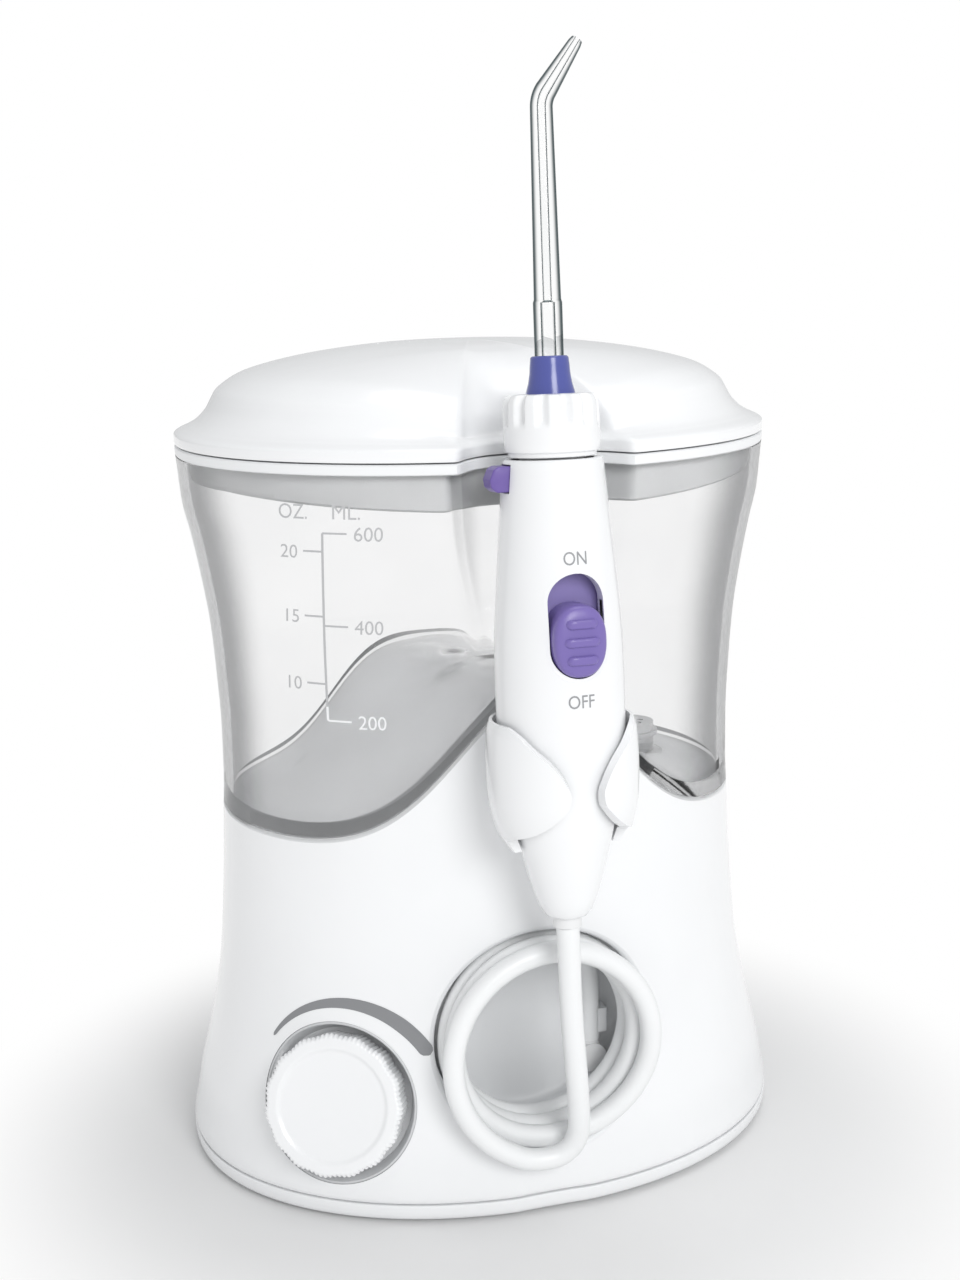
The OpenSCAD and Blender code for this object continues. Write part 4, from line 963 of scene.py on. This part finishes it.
def on_tank(V, F, x0, z0):
    """lays flat artwork (x right, y up, mm) on the tank's front wall at x0, z0"""
    V = np.asarray(V, float)
    g = 0.5
    slope = (ywall(np.array(x0 + g), np.array(float(z0))) - ywall(np.array(x0 - g), np.array(float(z0)))) / (2 * g)
    ca = 1 / math.sqrt(1 + float(slope) ** 2)
    X, Z = x0 + V[:, 0] * ca, z0 + V[:, 1]
    return np.stack([X, ywall(X, Z) - 0.07, Z], 1), F


def quad_strip(x0, z0, x1, z1, w, n=12):
    p0, p1 = np.array([x0, z0], float), np.array([x1, z1], float)
    d = (p1 - p0) / np.linalg.norm(p1 - p0)
    nn_ = np.array([-d[1], d[0]]) * w / 2
    V, F = [], []
    for i in range(n + 1):
        c = p0 + (p1 - p0) * i / n
        for sg in (-1, 1):
            q = c + sg * nn_
            V.append([q[0], float(ywall(np.array(q[0]), np.array(q[1]))) - 0.07, q[1]])
    for i in range(n):
        F.append((2 * i, 2 * i + 1, 2 * i + 3, 2 * i + 2))
    return V, F


parts = []
X0, X1 = -45.8, -44.7
xa = lambda z: X0 + (X1 - X0) * (159.5 - z) / (159.5 - 116.8)
parts.append(quad_strip(xa(159.5), 159.5, xa(116.8), 116.8, 0.45, 40))
for z, lab in ((159.5, "600"), (138.6, "400"), (116.8, "200")):
    parts.append(quad_strip(xa(z), z, xa(z) + 4.6, z, 0.45, 6))
    v, f = text_mesh(lab, 4.5)
    parts.append(on_tank(v, f, xa(z) + 5.8, z - 1.6))
for z, lab in ((155.4, "20"), (140.7, "15"), (125.2, "10")):
    parts.append(quad_strip(xa(z) - 3.6, z, xa(z), z, 0.45, 6))
    v, f = text_mesh(lab, 4.3)
    w_ = v[:, 0].max()
    parts.append(on_tank(v - np.array([w_ + 1.4, 0, 0]), f, xa(z) - 3.6, z - 1.7))
v, f = text_mesh("OZ.", 4.6)
parts.append(on_tank(v, f, -53.9, 162.5))
v, f = text_mesh("ML.", 4.6)
parts.append(on_tank(v, f, -44.2, 162.6))
V, F = join(*parts)
low_ = [1 if float(np.mean([V[i][2] for i in f_])) < 120.5 else 0 for f_ in F]
make("tank_volume_scale", V, F, ["scale", "white2"], "tank", (), fm=low_, sharp=60)

parts = []
for lab, wz_ in (("ON", 76.9), ("OFF", 47.6)):
    v, f = text_mesh(lab, 3.9)
    v = (v - np.array([(v[:, 0].max() + v[:, 0].min()) / 2, 0, 0])) * np.array([0.86, 1, 1])
    w = wz_ + v[:, 1]
    rr_ = hr(w)
    ax = v[:, 0] / rr_
    parts.append((hp(np.stack([rr_ * np.sin(ax), -(rr_ + 0.06) * np.cos(ax), w], 1)), f))
V, F = join(*parts)
make("switch_words", V, F, "print", "hand_piece", (), sharp=60)

# ------------------------------------------------------------------ CAD pieces that stay
CADMAT = {"rubber_feet": "rubber", "housing_screws": "steel", "power_inlet": "dark", "regulator_spindle": "nylon",
          "regulator_body": "dark", "hose_nipple": "soft", "hose_clip": "liner", "motor_can": "steel", "motor_rotor": "steel",
          "motor_pinion": "brass", "pump_frame": "dark", "gear_axle": "steel", "drive_gear": "nylon", "piston_rod": "nylon",
          "piston_seal": "rubber", "pump_cylinder": "nylon", "valve_head": "dark", "check_valves": "steel", "pump_screws": "steel",
          "rubber_mounts": "rubber", "control_board": "board", "inlet_tube": "soft", "outlet_tube": "soft", "supply_tube": "soft",
          "tank_port": "soft", "tank_port_seal": "rubber", "tank_valve_body": "valve", "tank_valve_plunger": "nylon",
          "tank_valve_spring": "steel", "lid_hinge_pin": "steel", "tip_socket": "soft", "socket_o_ring": "rubber",
          "eject_spring": "steel", "shutoff_body": "soft", "shutoff_spool": "steel", "handle_tube": "soft", "hose_barb": "soft"}
for n_, o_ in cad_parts.items():
    if n_ in CADMAT:
        for sl in o_.material_slots:
            sl.link = "OBJECT"
            sl.material = M[CADMAT[n_]]

# ------------------------------------------------------------------ floor, light
fl = bpy.data.meshes.new("floor")
fl.from_pydata([(-3, -3, 0), (3, -3, 0), (3, 3, 0), (-3, 3, 0)], [], [(0, 1, 2, 3)])
fm_ = plastic("paper_floor", (0.82, 0.82, 0.82), 0.8, 0.004, 0.01, 400)
nt_, b_ = nodes_of(fm_)
tc_ = nt_.nodes.new("ShaderNodeTexCoord")
ln_ = nt_.nodes.new("ShaderNodeVectorMath")
ln_.operation = "LENGTH"
nt_.links.new(tc_.outputs["Object"], ln_.inputs[0])
mr_ = nt_.nodes.new("ShaderNodeMapRange")
mr_.interpolation_type = "SMOOTHSTEP"
mr_.inputs["From Min"].default_value = 0.078
mr_.inputs["From Max"].default_value = 0.145
nt_.links.new(ln_.outputs["Value"], mr_.inputs["Value"])
em_ = nt_.nodes.new("ShaderNodeEmission")
em_.inputs["Color"].default_value = (1, 1, 1, 1)
em_.inputs["Strength"].default_value = 1.0
mx_ = nt_.nodes.new("ShaderNodeMixShader")
nt_.links.new(mr_.outputs["Result"], mx_.inputs["Fac"])
nt_.links.new(b_.outputs["BSDF"], mx_.inputs[1])
nt_.links.new(em_.outputs["Emission"], mx_.inputs[2])
nt_.links.new(mx_.outputs["Shader"], nt_.nodes["Material Output"].inputs["Surface"])
fl.materials.append(fm_)
flo = bpy.data.objects.new("floor", fl)
scene.collection.objects.link(flo)

w = bpy.data.worlds.new("world")
scene.world = w
w.use_nodes = True
wn = w.node_tree
bg = wn.nodes["Background"]
bg.inputs["Color"].default_value = (0.985, 0.992, 1.0, 1)
bg.inputs["Strength"].default_value = 0.62
bg2 = wn.nodes.new("ShaderNodeBackground")
bg2.inputs["Color"].default_value = (1, 1, 1, 1)
bg2.inputs["Strength"].default_value = 1.0
lp = wn.nodes.new("ShaderNodeLightPath")
mw = wn.nodes.new("ShaderNodeMixShader")
mx2 = wn.nodes.new("ShaderNodeMath")
mx2.operation = "MAXIMUM"
wn.links.new(lp.outputs["Is Camera Ray"], mx2.inputs[0])
wn.links.new(lp.outputs["Is Transmission Ray"], mx2.inputs[1])
wn.links.new(mx2.outputs["Value"], mw.inputs["Fac"])
wn.links.new(bg.outputs["Background"], mw.inputs[1])
wn.links.new(bg2.outputs["Background"], mw.inputs[2])
wn.links.new(mw.outputs["Shader"], wn.nodes["World Output"].inputs["Surface"])


def area(name, pos, target, size, power, col=(1, 1, 1)):
    ld = bpy.data.lights.new(name, "AREA")
    ld.shape, ld.size, ld.energy, ld.color = "DISK", size, power, col
    lo = bpy.data.objects.new(name, ld)
    scene.collection.objects.link(lo)
    lo.location = pos
    lo.rotation_mode = "QUATERNION"
    lo.rotation_quaternion = (Vector(target) - Vector(pos)).to_track_quat("-Z", "Y")
    return lo


area("key", (0.08, -1.05, 0.62), (0, 0, 0.1), 0.5, 5.6)
area("top", (0.15, 0.0, 1.2), (0, 0, 0.1), 0.7, 2.4)

scene.view_settings.view_transform = "Standard"
